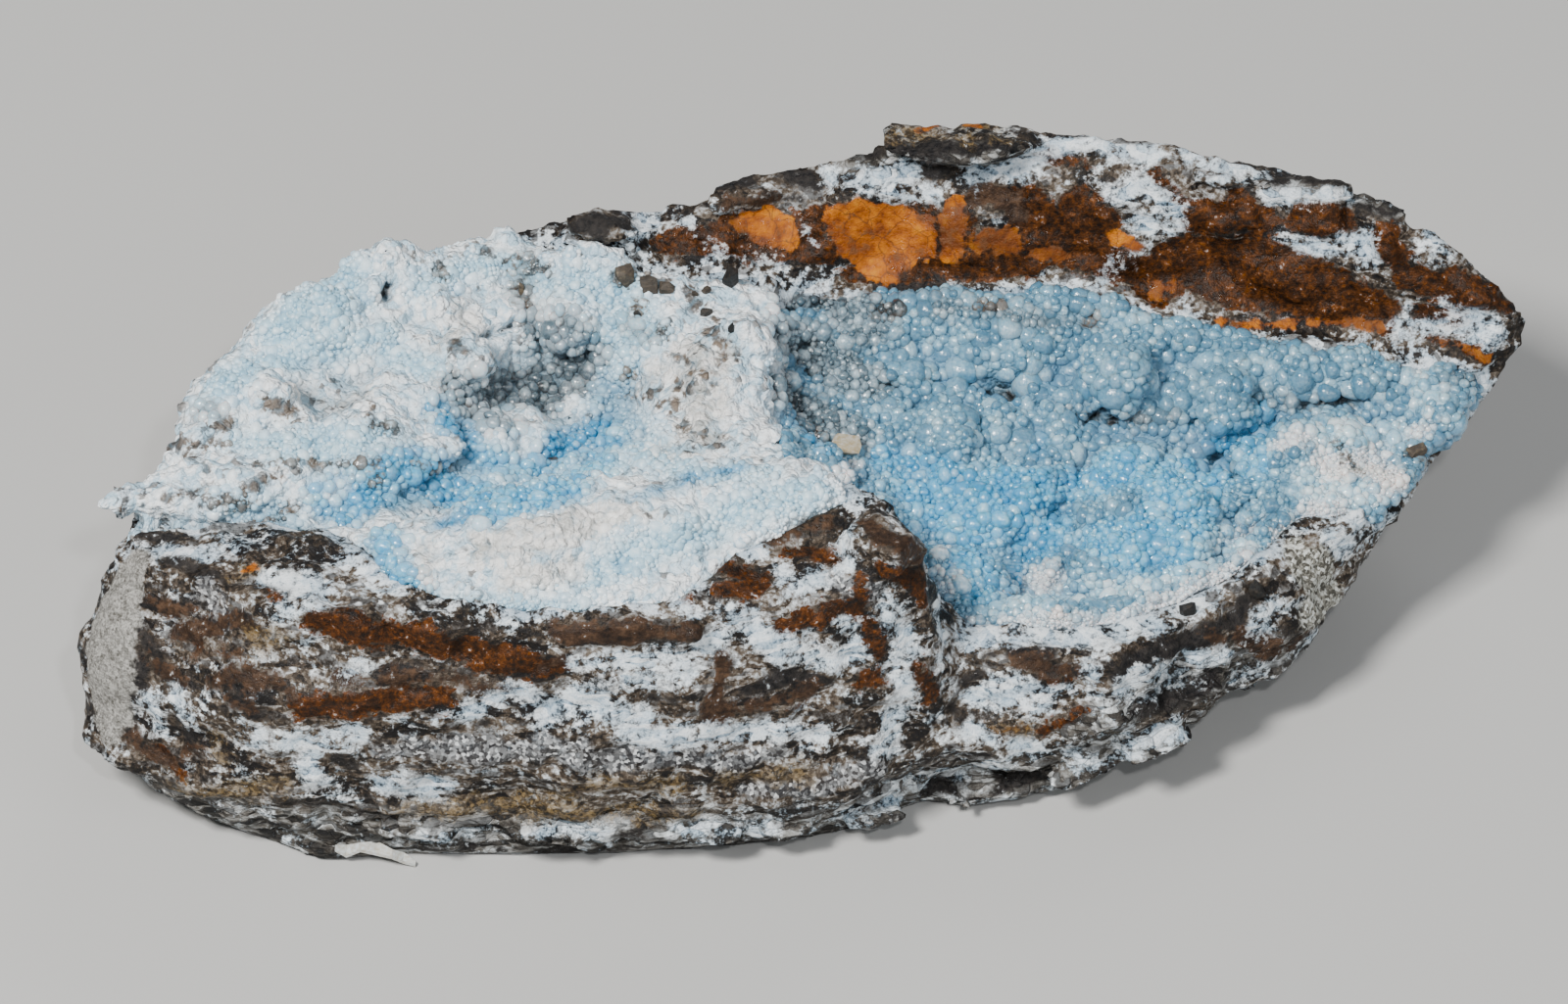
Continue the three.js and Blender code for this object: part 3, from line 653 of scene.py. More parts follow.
def rock_finish():
    """Schist in flakes of black, brown, grey and white, rusty in places, with bright limonite."""
    material, shader, t = finish_of("schist_and_limonite", {"Specular IOR Level": 0.22})
    at = t.scaled(1, 1, 1)
    mottle = t.cloud(at, 0.35, 2, 0.6)
    fine = t.cloud(at, 1.3, 3, 0.6)
    finest = t.cloud(at, 4.5, 1, 0.6)
    bedded = t.bent(t.scaled(0.3, 0.3, 1), 0.7, 1.1)
    flakes = t.picks(bedded, 0.55)
    chips = t.picks(bedded, 1.7)
    streaks = t.cloud(bedded, 0.9, 4, 0.65)
    grains = t.picks(at, 2.6)
    joints = t.cells(bedded, 1.7, "DISTANCE_TO_EDGE")

    def inside(name, ragged=1.0, soft=0.22):
        return (t.kept(name) + ragged * (3.0 * (mottle - 0.5) + 2.4 * (fine - 0.5))).step(
            -soft, soft)

    whitened = t.kept("white").step(-1.5, 0.9)
    beside = (t.kept("beside_crust") + 1.4 * (fine - 0.5) + 0.8 * (mottle - 0.5)).step(0.1, 0.9)
    blackened = inside("dark", 1.0, 0.5)
    layered = t.kept("schist").step(-1, 1).larger(1 - t.scaled(0, 0, 1).apart(2).step(5, 10))
    veil = (1.1 * whitened.larger(0.8 * beside) + 3.2 * (mottle - 0.5) + 4.0 * (fine - 0.5)
            + 0.5 * (chips - 0.5) + 1.4 * (finest - 0.5) - 0.46 - 0.6 * blackened).step(-0.45, 0.8)
    tone = 0.26 * flakes + 0.22 * chips + 0.4 * streaks + 0.6 * (fine - 0.5)
    tone = tone + 0.16 * (grains - 0.5) + 0.08
    dull = tone.ramp(
        (0.34, (0.007, 0.006, 0.006)), (0.44, (0.024, 0.018, 0.013)), (0.53, (0.065, 0.048, 0.034)),
        (0.61, (0.14, 0.115, 0.09)), (0.70, (0.30, 0.29, 0.28)), (0.82, (0.56, 0.58, 0.59)))
    banded = (0.30 * chips + 0.9 * streaks - 0.1).ramp(
        (0.34, (0.010, 0.010, 0.010)), (0.45, (0.046, 0.041, 0.035)), (0.52, (0.13, 0.122, 0.11)),
        (0.60, (0.29, 0.29, 0.28)), (0.72, (0.58, 0.61, 0.62)))
    colour = layered.between(dull, banded)
    milky = (0.5 * fine + 0.3 * chips + 0.2 * finest).ramp(
        (0.3, (0.22, 0.33, 0.44)), (0.46, (0.51, 0.62, 0.71)), (0.66, (0.88, 0.93, 0.96)))
    colour = (veil * 0.96).between(colour, milky)
    clasts = (chips - 0.5 * (mottle - 0.5)).step(0.86, 0.9) * (1 - 0.8 * whitened)
    colour = (blackened.larger(clasts * 0.8)).between(
        colour, fine.ramp((0.35, (0.004, 0.004, 0.005)), (0.62, (0.030, 0.026, 0.024))))
    glitter = grains.ramp((0.2, (0.03, 0.03, 0.033)), (0.5, (0.12, 0.125, 0.13)),
                          (0.8, (0.30, 0.31, 0.32)), (0.97, (0.75, 0.77, 0.78)))
    sparkly = inside("glitter", 1.2, 0.5)
    colour = (0.8 * sparkly).between(colour, glitter)
    rust = (0.50 * fine + 0.30 * mottle + 0.12 * grains + 0.14 * finest - 0.02).ramp(
        (0.38, (0.008, 0.003, 0.001)), (0.48, (0.028, 0.009, 0.001)), (0.56, (0.068, 0.020, 0.002)),
        (0.64, (0.13, 0.038, 0.003)), (0.74, (0.28, 0.10, 0.015)))
    rusty = (t.kept("rust") + 1.5 * (mottle - 0.5) + 2.4 * (fine - 0.5) + 0.7 * (chips - 0.4)).step(
        -0.2, 0.25)
    colour = rusty.between(colour, rust)
    umber = (0.5 * streaks + 0.5 * fine).ramp(
        (0.38, (0.011, 0.006, 0.004)), (0.5, (0.034, 0.018, 0.010)), (0.62, (0.085, 0.046, 0.025)))
    brown_plate = inside("umber", 1.3, 0.4)
    colour = brown_plate.between(colour, umber)
    ochre = (0.6 * fine + 0.4 * grains).ramp(
        (0.28, (0.020, 0.014, 0.007)), (0.46, (0.085, 0.055, 0.022)), (0.62, (0.21, 0.14, 0.055)))
    colour = (inside("ochre", 2.0, 1.1) * 0.8).between(colour, ochre)
    frosting = (whitened + 3.4 * (fine - 0.5) + 2.2 * (mottle - 0.5) + 0.8 * (finest - 0.5)
                - 0.72).step(-0.1, 0.7)
    colour = (frosting * 0.75).between(colour, milky)
    plain = (0.5 * finest + 0.3 * fine + 0.2 * grains).ramp(
        (0.33, (0.09, 0.085, 0.075)), (0.48, (0.22, 0.215, 0.20)), (0.62, (0.39, 0.38, 0.355)))
    plain_stone = inside("grey", 0.8, 0.4)
    colour = plain_stone.between(colour, plain)
    granular = (0.6 * grains + 0.5 * finest - 0.05).ramp(
        (0.3, (0.07, 0.066, 0.055)), (0.5, (0.29, 0.28, 0.24)), (0.75, (0.66, 0.68, 0.64)))
    colour = inside("lumpy", 0.8, 0.4).between(colour, granular)
    cracks = t.cells(t.bent(at, 0.5, 1.6), 0.34, "DISTANCE_TO_EDGE")
    limonite = (0.6 * mottle + 0.4 * fine).ramp(
        (0.38, (0.13, 0.030, 0.003)), (0.47, (0.26, 0.066, 0.003)),
        (0.56, (0.40, 0.115, 0.004)), (0.68, (0.52, 0.19, 0.01)))
    limonite = (t.kept("sienna").step(-1, 0.5) * 0.6).between(limonite, (0.075, 0.022, 0.006))
    limonite = ((1 - cracks.step(0.0, 0.035)) * 0.7).between(limonite, (0.10, 0.035, 0.012))
    limonite = ((fine - mottle).step(0.10, 0.2) * 0.7).between(limonite, (0.12, 0.05, 0.02))
    bright = inside("limonite", 0.6)
    colour = bright.between(colour, limonite)
    colour = ((1 - joints.step(0.0, 0.06)) * 0.4 * layered * (1 - bright)).between(
        colour, (0.015, 0.013, 0.012))
    sparks = (grains - 0.1 * finest).step(0.86, 0.9)
    rough = (0.60 - 0.08 * rusty + 0.1 * blackened + 0.3 * plain_stone + 0.5 * (fine - 0.5)
             - 0.34 * sparks * (1 - plain_stone))
    height = (0.6 * fine + 0.35 * finest + 0.4 * grains * (1 - t.kept("limonite").step(-0.3, 0.3))
              + 0.5 * joints.step(0.0, 0.1) * layered)
    bump = t.node("ShaderNodeBump", None,
                  {"Strength": 0.7, "Distance": 0.45 * MM, "Height": height})
    feed(shader, Base_Color=colour, Roughness=rough, Normal=bump)
    return material


rock.data.materials.append(rock_finish())
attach(rock, "root")
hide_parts("host_rock")


# The crusts are skins of allophane, white and granular on the rims and domes and blue in the
# hollows. Each grew as one piece on the rock, and thins out over its edge.
SKIN_GRAIN = 0.42 * MM
ALLOPHANE = {
    "pale": [
        [(290, 345, 24), (310, 308, 28), (350, 285, 30), (345, 330, 26), (300, 362, 14)],
        [(230, 385, 20), (212, 402, 16), (262, 372, 18), (330, 358, 16), (400, 340, 14)],
        [(250, 450, 18), (300, 455, 24), (350, 452, 22), (400, 440, 14)],
        [(430, 292, 14), (470, 272, 16), (520, 268, 14), (560, 290, 14)],
        [(585, 292, 22), (625, 300, 30), (652, 335, 26), (610, 345, 24)],
        [(632, 375, 26), (618, 412, 26), (645, 450, 26), (700, 484, 20), (780, 482, 20)],
        [(240, 515, 18), (290, 540, 26), (330, 562, 24), (352, 592, 18)],
        [(370, 602, 18), (450, 622, 18), (520, 618, 14), (600, 624, 12)],
        [(400, 360, 18), (440, 375, 16)],
        [(600, 590, 16), (650, 565, 18), (700, 548, 20), (760, 520, 22), (830, 500, 22)],
        [(470, 480, 30), (560, 490, 30), (620, 470, 24)],
        [(1345, 440, 20), (1400, 440, 24), (1436, 452, 14)],
        [(1340, 492, 22), (1400, 505, 18)],
        [(1000, 610, 12), (1100, 612, 16), (1200, 588, 18), (1262, 556, 16)],
        [(1440, 375, 14), (1462, 405, 14)],
    ],
    "blue": [
        [(350, 530, 16), (372, 505, 20), (392, 478, 22), (425, 468, 20), (450, 500, 30),
         (500, 515, 26), (560, 508, 26), (600, 482, 24), (622, 455, 18)],
        [(446, 420, 14), (470, 438, 14)],
        [(482, 462, 12), (520, 478, 14), (552, 476, 12)],
        [(330, 520, 10), (322, 500, 8), (360, 480, 8)],
        [(548, 478, 14), (572, 458, 20), (602, 444, 20), (622, 432, 12)],
        [(390, 550, 20), (400, 585, 20), (432, 602, 12)],
        [(900, 470, 18), (950, 500, 40), (1000, 522, 42), (1042, 482, 40), (1060, 545, 32)],
        [(980, 560, 28), (1000, 606, 18)],
        [(1090, 500, 22), (1150, 482, 36), (1220, 492, 36), (1190, 545, 40), (1120, 556, 30)],
        [(1258, 450, 24), (1284, 440, 20), (1280, 476, 18)],
    ],
    "sky": [
        [(380, 515, 16), (440, 505, 22), (560, 500, 22), (600, 470, 18)],
        [(318, 345, 10), (330, 358, 8)],
    ],
    "deep": [
        [(562, 458, 12), (584, 448, 18), (610, 434, 17)],
        [(449, 418, 10), (464, 438, 14), (480, 450, 11)],
        [(445, 534, 8), (470, 530, 8), (492, 524, 6)],
        [(380, 515, 6), (372, 500, 6)],
        [(420, 462, 5), (400, 470, 5)],
        [(960, 470, 8), (982, 490, 9), (1010, 500, 9)],
        [(1062, 448, 7), (1056, 466, 6)],
        [(1072, 530, 5), (1060, 560, 7), (1036, 584, 9), (1026, 606, 7)],
        [(1250, 436, 6), (1236, 460, 7), (1258, 484, 7)],
        [(1160, 520, 6), (1180, 560, 6)],
        [(640, 510, 5), (700, 486, 6), (760, 478, 5)],
        [(795, 425, 6), (845, 462, 6)],
    ],
    "smoke": [
        [(470, 405, 20), (500, 402, 30), (540, 405, 34), (574, 386, 30), (596, 358, 24),
         (580, 332, 20), (545, 340, 20)],
        [(458, 396, 14), (474, 420, 16), (520, 432, 14)],
        [(540, 262, 8), (528, 300, 12), (540, 322, 12)],
        [(795, 298, 22), (850, 300, 26), (885, 330, 30)],
        [(795, 345, 24), (850, 370, 34), (892, 392, 20)],
        [(798, 400, 18), (835, 424, 28), (878, 446, 16)],
        [(950, 312, 10), (1000, 316, 10), (1062, 326, 10), (1120, 330, 8)],
        [(1090, 422, 6), (1140, 428, 8), (1200, 424, 6)],
        [(1285, 408, 6), (1330, 410, 6), (1390, 408, 6)],
        [(215, 555, 11), (262, 548, 12), (300, 560, 8), (340, 592, 7)],
        [(205, 420, 10), (225, 414, 8)],
        [(640, 330, 8), (660, 345, 8)],
        [(1480, 385, 10), (1502, 384, 9)],
    ],
    "chalk": [
        [(985, 642, 15), (1040, 640, 17), (1100, 642, 15), (1160, 632, 15), (1230, 602, 17),
         (1288, 570, 16)],
        [(1310, 545, 14), (1340, 528, 17), (1380, 530, 14)],
        [(1352, 470, 16), (1400, 470, 22), (1420, 492, 16)],
        [(968, 590, 10), (960, 612, 9), (965, 560, 5)],
        [(870, 480, 14), (850, 492, 9)],
        [(1308, 452, 9), (1336, 446, 11)],
        [(1060, 590, 16), (1082, 592, 13)],
        [(1240, 560, 5), (1280, 540, 6)],
        [(1446, 440, 9), (1460, 436, 7)],
        [(500, 345, 10), (536, 350, 10)],
    ],
    "cream": [
        [(500, 560, 22), (540, 542, 24), (600, 535, 22), (642, 520, 14)],
        [(520, 590, 14), (582, 582, 16)],
        [(695, 352, 16), (722, 372, 22), (742, 358, 14), (700, 385, 18), (722, 405, 24),
         (700, 440, 20), (735, 450, 14)],
        [(650, 398, 9), (672, 382, 10), (690, 374, 8)],
        [(368, 406, 18), (340, 420, 14), (300, 396, 10)],
        [(452, 346, 12), (482, 330, 11), (466, 310, 10)],
        [(430, 562, 12), (440, 590, 8)],
        [(1066, 592, 8), (1078, 598, 8)],
        [(1365, 482, 9), (1395, 478, 9), (1424, 490, 8)],
        [(1080, 632, 6), (1092, 634, 5)],
        [(668, 458, 7), (700, 464, 6), (730, 458, 6)],
    ],
    "dirt": [
        [(274, 412, 6), (290, 415, 7), (305, 424, 4)],
        [(494, 258, 6), (500, 260, 5)],
        [(532, 290, 4), (533, 308, 4)],
        [(448, 268, 2.5), (449, 284, 2.5)],
        [(464, 350, 8), (470, 356, 7)],
        [(637, 276, 5), (634, 284, 7)],
        [(656, 286, 6), (664, 292, 6), (678, 290, 4)],
        [(645, 312, 4), (652, 318, 3)],
        [(706, 312, 6), (716, 311, 5)],
        [(700, 300, 2.5), (709, 292, 4)],
        [(733, 326, 3), (735, 334, 4), (737, 346, 2)],
        [(718, 338, 4), (730, 346, 6), (726, 336, 8)],
        [(740, 350, 4), (738, 362, 4), (732, 364, 4)],
        [(712, 350, 3), (722, 358, 3)],
        [(748, 346, 3), (750, 362, 3)],
        [(678, 348, 3), (674, 334, 4)],
        [(684, 364, 2), (700, 370, 2.5), (712, 378, 2)],
        [(718, 378, 3), (726, 386, 3)],
        [(694, 390, 3), (697, 394, 3)],
        [(640, 382, 3), (642, 384, 3)],
        [(676, 410, 3), (690, 412, 4), (688, 422, 3)],
        [(694, 434, 4), (702, 442, 4), (716, 438, 4), (722, 446, 3)],
        [(672, 400, 2), (640, 404, 1.5)],
        [(704, 366, 1.5), (706, 390, 1.5), (700, 404, 1.5)],
        [(716, 440, 2), (750, 452, 1.5)],
        [(740, 452, 2), (690, 456, 2)],
        [(207, 512, 3), (228, 508, 5), (249, 508, 4)],
        [(169, 508, 2), (190, 502, 3), (205, 500, 2)],
        [(249, 498, 3), (262, 495, 4), (280, 490, 3)],
        [(196, 462, 3), (200, 472, 4), (207, 478, 2)],
        [(178, 452, 5), (196, 452, 4), (226, 452, 3)],
        [(205, 440, 6), (235, 432, 5)],
        [(255, 474, 1.5), (300, 472, 1.5), (330, 476, 2)],
        [(352, 560, 3), (358, 592, 5)],
        [(296, 560, 4), (312, 570, 5), (330, 584, 4), (350, 600, 4)],
        [(320, 540, 4), (330, 552, 4)],
        [(318, 470, 1.5), (350, 472, 1.5), (390, 468, 2)],
        [(362, 470, 2), (390, 470, 2.5), (386, 486, 3)],
        [(426, 474, 2), (434, 479, 2), (458, 478, 1.5)],
        [(300, 520, 3), (286, 530, 3), (250, 535, 4)],
        [(190, 545, 5), (180, 556, 6), (220, 548, 5)],
        [(125, 522, 4), (128, 523, 4)],
        [(92, 520, 5), (96, 528, 4)],
        [(520, 268, 3), (560, 274, 3)],
        [(380, 420, 3), (378, 432, 3), (400, 438, 4)],
        [(346, 412, 3), (350, 414, 3)],
        [(484, 612, 4), (488, 614, 4)],
        [(563, 462, 2.5), (566, 468, 2.5)],
        [(1030, 610, 2), (1032, 611, 2)],
        [(1362, 448, 2), (1382, 478, 2.5)],
        [(1109, 328, 4), (1116, 328, 4)],
        [(1002, 312, 4), (1024, 314, 3)],
        [(894, 316, 5), (920, 315, 5)],
        [(1440, 462, 6), (1450, 458, 5)],
        [(825, 438, 4), (836, 440, 3)],
    ],
    "ledge": [
        [(900, 372, 10), (960, 376, 10), (1040, 384, 11), (1100, 392, 11), (1160, 404, 11),
         (1225, 412, 13), (1280, 392, 12), (1340, 396, 13), (1410, 394, 13)],
    ],
    # Gaps are grooves sunk into the crusts. No beads sit in them, and they hold a painted near-black shadow.
    "gap": [
        [(868, 385, 3), (913, 391, 4)],
        [(945, 390, 3), (970, 391, 3), (1008, 398, 5), (1042, 402, 5)],
        [(1064, 408, 3), (1080, 412, 3), (1104, 426, 4), (1143, 430, 4), (1200, 432, 2)],
        [(1276, 408, 5), (1284, 415, 5)],
        [(1326, 412, 3), (1354, 412, 3), (1370, 406, 5), (1404, 410, 3)],
        [(1242, 438, 3), (1260, 434, 3)],
        [(1230, 465, 4), (1244, 472, 7), (1262, 486, 4)],
        [(770, 300, 2), (784, 340, 4), (783, 380, 5), (784, 415, 4)],
        [(800, 318, 2), (840, 316, 2)],
        [(808, 358, 2.5), (850, 352, 2), (862, 362, 2)],
        [(990, 386, 3), (1024, 400, 4)],
        [(1028, 514, 2), (1057, 504, 2)],
        [(820, 384, 2.5), (846, 378, 2)],
        [(485, 626, 4), (502, 627, 4)],
        [(90, 536, 4), (130, 533, 5), (165, 536, 5), (200, 540, 2)],
        [(880, 452, 2), (760, 452, 3), (768, 450, 3)],
        [(455, 396, 3), (468, 384, 2.5), (490, 350, 2), (520, 334, 2.5)],
        [(382, 312, 3), (390, 298, 5), (398, 284, 6)],
        [(540, 340, 2), (556, 362, 2), (580, 360, 2)],
    ],
}
SKY_MARGIN = 3  # mm, as if strokes of sky blue covered all of the right vug


def crust_relief(at, lobes, humps, popcorn):
    """How far, in mm, a crust stands out: lobes, humps and popcorn of given heights."""
    return (0.7 * noise.noise(at * 0.15) + lobes * knobs(at, 8) + humps * knobs(at, 3.4)
            + popcorn * knobs(at, 1.4) + 0.15 * noise.noise(at * 1.4))


def crust_skin(name, node, heights):
    """The grown surface of one crust, which dips under the rock along a wandering edge."""
    body = merged_copy(node)
    for vertex in body.verts:
        vertex.co += vertex.normal * SEAM * 1.3
    skin = even_mesh(name, body, SKIN_GRAIN, 8)
    places, normals = spots(skin.data)
    paint = margins(ALLOPHANE, wandered(places), whole_tree)
    inland = 1 - nearness(rock_tree, places, 2.4 * MM)
    raised = np.zeros(len(places), np.float32)
    wander = np.zeros(len(places), np.float32)
    for i, place in enumerate(places.tolist()):
        at = Vector(place) / MM
        raised[i] = crust_relief(at, *heights)
        wander[i] = noise.noise(at * 0.3) + 0.5 * noise.noise(at * 1.0)
    paint["inland"] = ease(inland + 0.4 * wander, 0.1, 0.8)
    if node == "left_vug_crust":
        raised *= 1 - 0.4 * ease(paint["blue"], -1, 1)
    shift = raised * (0.3 + 0.7 * paint["inland"]) + 1.7 * paint["inland"] - 1.2
    shift = np.minimum(shift, 2.0) - 1.9 * ease(paint["gap"], -0.7, 0.3)
    places += normals * shift[:, None] * MM
    places[:, 2] = np.maximum(places[:, 2], 0)
    skin.data.vertices.foreach_set("co", places.ravel())
    skin.data.update()
    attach(skin, "root")
    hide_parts(node)
    return skin, paint


left_skin, left_paint = crust_skin("left_crust", "left_vug_crust", (0.9, 1.5, 0.9))
right_skin, right_paint = crust_skin("right_crust", "right_vug_crust", (2.2, 1.6, 0.6))
dressed_tree = tree_of(rock, left_skin, right_skin)
for skin, paint in ((left_skin, left_paint), (right_skin, right_paint)):
    shown = margins(ALLOPHANE, wandered(spots(skin.data)[0]), dressed_tree)
    paint.update((kind, values) for kind, values in shown.items() if kind != "gap")
right_paint["sky"] = np.maximum(right_paint["sky"], SKY_MARGIN)

# How deep each place lies below the specimen round it. The crusts' colour uses this depth to paint shade into
# hollows.
RELIEF_CELL = 0.8 * MM
relief_points = np.concatenate([spots(piece.data)[0] for piece in (left_skin, right_skin, rock)])
relief_start = relief_points[:, :2].min(axis=0) - 0.03
relief_index = ((relief_points[:, :2] - relief_start) / RELIEF_CELL).astype(int)
relief_size = relief_index.max(axis=0) + int(0.03 / RELIEF_CELL)


def evened_tops(reach):
    """A map of how high the specimen stands over each cell of the table, evened over a reach."""
    tops = np.zeros(relief_size)
    np.maximum.at(tops, (relief_index[:, 0], relief_index[:, 1]), relief_points[:, 2])
    bell = np.arange(-3 * reach, 3 * reach, RELIEF_CELL)
    bell = np.exp(-0.5 * (bell / reach) ** 2)
    share = (tops > 0).astype(float)
    for axis in (0, 1):
        tops = np.apply_along_axis(np.convolve, axis, tops, bell, "same")
        share = np.apply_along_axis(np.convolve, axis, share, bell, "same")
    return tops / np.maximum(share, 1e-6)


near_tops = evened_tops(2.2 * MM)
wide_tops = evened_tops(6 * MM)


def hollowness(places):
    """How far, in mm, places lie below the specimen round them."""
    index = ((places[:, :2] - relief_start) / RELIEF_CELL).astype(int)
    index = np.clip(index, 0, np.array(relief_size) - 1)
    tops = (0.65 * near_tops + 0.35 * wide_tops)[index[:, 0], index[:, 1]]
    return np.clip((tops - places[:, 2]) / MM, -4, 6)


def crust_colour(t, pick, fine, mottle):
    """The crusts' colour where the strokes lie: white, pale to deep blue, smoky, cream, dirty; with painted shade
    in hollows and painted shadow in the gaps.
    """

    def inside(name, soft=0.8, ragged=1.0):
        return (t.kept(name) + ragged * (2.4 * (mottle - 0.5) + 1.8 * (fine - 0.5)
                                         + 0.7 * (pick - 0.5))).step(-soft, soft)

    shade = 0.25 * pick + 0.4 * mottle + 0.35 * fine
    colour = shade.ramp((0.38, (0.46, 0.64, 0.76)), (0.46, (0.74, 0.87, 0.95)),
                        (0.56, (0.96, 0.99, 1.0)))
    sky = shade.ramp((0.34, (0.070, 0.19, 0.29)), (0.49, (0.125, 0.29, 0.41)),
                     (0.64, (0.26, 0.47, 0.60)))
    colour = inside("sky", 1.2).between(colour, sky)
    pale = shade.ramp((0.34, (0.24, 0.47, 0.62)), (0.49, (0.41, 0.64, 0.77)),
                      (0.64, (0.66, 0.83, 0.91)))
    colour = inside("pale", 1.5).between(colour, pale)
    blue = shade.ramp((0.34, (0.045, 0.28, 0.52)), (0.5, (0.10, 0.41, 0.66)),
                      (0.66, (0.25, 0.57, 0.78)))
    colour = inside("blue", 1.4).between(colour, blue)
    colour = (inside("deep", 1.0) * 0.95).between(colour, (0.025, 0.25, 0.47))
    smoke = shade.ramp((0.36, (0.060, 0.092, 0.112)), (0.5, (0.15, 0.21, 0.25)),
                       (0.66, (0.32, 0.40, 0.45)))
    colour = (inside("smoke", 1.2) * 0.92).between(colour, smoke)
    chalk = shade.ramp((0.36, (0.74, 0.84, 0.90)), (0.56, (0.95, 0.98, 1.0)))
    colour = (inside("chalk", 1.0) * 0.85).between(colour, chalk)
    cream = shade.ramp((0.36, (0.50, 0.46, 0.40)), (0.5, (0.72, 0.69, 0.64)),
                       (0.64, (0.94, 0.92, 0.88)))
    colour = (inside("cream", 1.0) * 0.8).between(colour, cream)
    blueness = inside("blue").larger(inside("sky") * 0.6).larger(inside("pale") * 0.4)
    # Painted shade: deep in a hollow the colour darkens to deep blue, and to near-black in smoky parts.
    crevice_shade = blueness.between((0.22, 0.32, 0.39), (0.03, 0.20, 0.38))
    crevice_shade = inside("smoke").between(crevice_shade, (0.012, 0.018, 0.024))
    colour = (t.kept("hollow").step(0.2, 2.2) * 0.62).between(colour, crevice_shade)
    specks = (pick - 0.6 * (mottle - 0.5) - 0.3 * blueness).step(0.955, 0.98)
    dirty = (t.kept("dirt") + 0.25 + 2.6 * (fine - 0.5) + 0.9 * (pick - 0.5)).step(-0.3, 0.3)
    dirty = dirty.larger(specks * 0.8)
    soil = mottle.ramp((0.40, (0.012, 0.009, 0.007)), (0.62, (0.12, 0.075, 0.040)))
    colour = (dirty * 0.92).between(colour, soil)
    # Painted shadow: near-black in the gaps.
    return inside("gap", 0.35, 0.4).between(colour, (0.012, 0.014, 0.016))


def skin_finish():
    material, shader, t = finish_of("crust", {
        "Specular IOR Level": 0.5})
    at = t.scaled(1, 1, 1)
    mottle = t.cloud(at, 0.3, 2, 0.6)
    fine = t.cloud(at, 1.2, 3, 0.62)
    lumpy = t.bent(at, 0.8, 0.7)
    corn = t.cells(lumpy, 0.9)
    crumbs = t.cells(lumpy, 2.4)
    colour = crust_colour(t, t.picks(lumpy, 0.9), fine, mottle)
    # Painted shade: the colour darkens to blue-grey in the creases between the popcorn lumps.
    crease_shade = (corn + 0.4 * (fine - 0.5)).step(0.45, 0.8)
    colour = (crease_shade * 0.3).between(colour, (0.24, 0.42, 0.55))
    rough = 0.42 + 0.4 * (fine - 0.3)
    height = 1.0 - 1.1 * corn - 0.35 * crumbs + 0.3 * fine
    bump = t.node("ShaderNodeBump", None,
                  {"Strength": 0.95, "Distance": 0.65 * MM, "Height": height})
    feed(shader, Base_Color=colour, Roughness=rough, Normal=bump)
    return material


crust_material = skin_finish()
for skin, paint, slot in ((left_skin, left_paint, "pale_crust"),
                          (right_skin, right_paint, "blue_crust")):
    for kind in ALLOPHANE:
        keep(skin, kind, paint[kind])
    keep(skin, "hollow", hollowness(spots(skin.data)[0]))
    skin.data.materials.append(crust_material)


# The botryoids are glassy beads of allophane that cover the crusts like fish roe, up to 3 mm across
# in the right vug, finer in the left one and finest on the white rims.
FEW_FACES_BELOW = 0.52 * MM  # beads of a smaller radius have 20 faces and larger ones 80


def seeds_on(skin, paint, count, seed):
    """Random points on a skin's faces that look up or out, with their normals and paint there."""
    mesh = skin.data
    mesh.calc_loop_triangles()
    corners = np.zeros(len(mesh.loop_triangles) * 3, np.int32)
    mesh.loop_triangles.foreach_get("vertices", corners)
    corners = corners.reshape(-1, 3)
    places, normals = spots(mesh)
    a, b, c = (places[corners[:, i]] for i in range(3))
    area = np.linalg.norm(np.cross(b - a, c - a), axis=1)
    facing = normals[corners].mean(axis=1)
    area[facing[:, 2] < -0.1] = 0
    area[paint["inland"][corners].mean(axis=1) < 0.25] = 0
    draw = np.random.default_rng(seed)
    chosen = draw.choice(len(area), count, p=area / area.sum())
    share = draw.dirichlet((1, 1, 1), count)
    points = np.einsum("nk,nki->ni", share, places[corners[chosen]])
    here = {kind: values[corners[chosen]].mean(axis=1) for kind, values in paint.items()}
    return points.astype(np.float32), facing[chosen], here


def thinned(places, reaches):
    """The numbers of those places that keep clear of all that were kept before them."""
    cell = 2 * float(reaches.max())
    steps = [(x, y, z) for x in (-1, 0, 1) for y in (-1, 0, 1) for z in (-1, 0, 1)]
    grid = defaultdict(list)
    kept = []
    for i, (place, reach) in enumerate(zip(places.tolist(), reaches.tolist())):
        x, y, z = (math.floor(value / cell) for value in place)
        close = (other for dx, dy, dz in steps
                 for other in grid.get((x + dx, y + dy, z + dz), ()))
        if all(math.dist(place, other) >= reach + room for other, room in close):
            grid[x, y, z].append((place, reach))
            kept.append(i)
    return np.array(kept)


def ball(subdivisions):
    """The points and the triangles of a ball of radius 1."""
    body = bmesh.new()
    bmesh.ops.create_icosphere(body, subdivisions=subdivisions, radius=1)
    points = np.array([vertex.co[:] for vertex in body.verts], np.float32)
    faces = np.array([[vertex.index for vertex in face.verts] for face in body.faces], np.int32)
    body.free()
    return points, faces


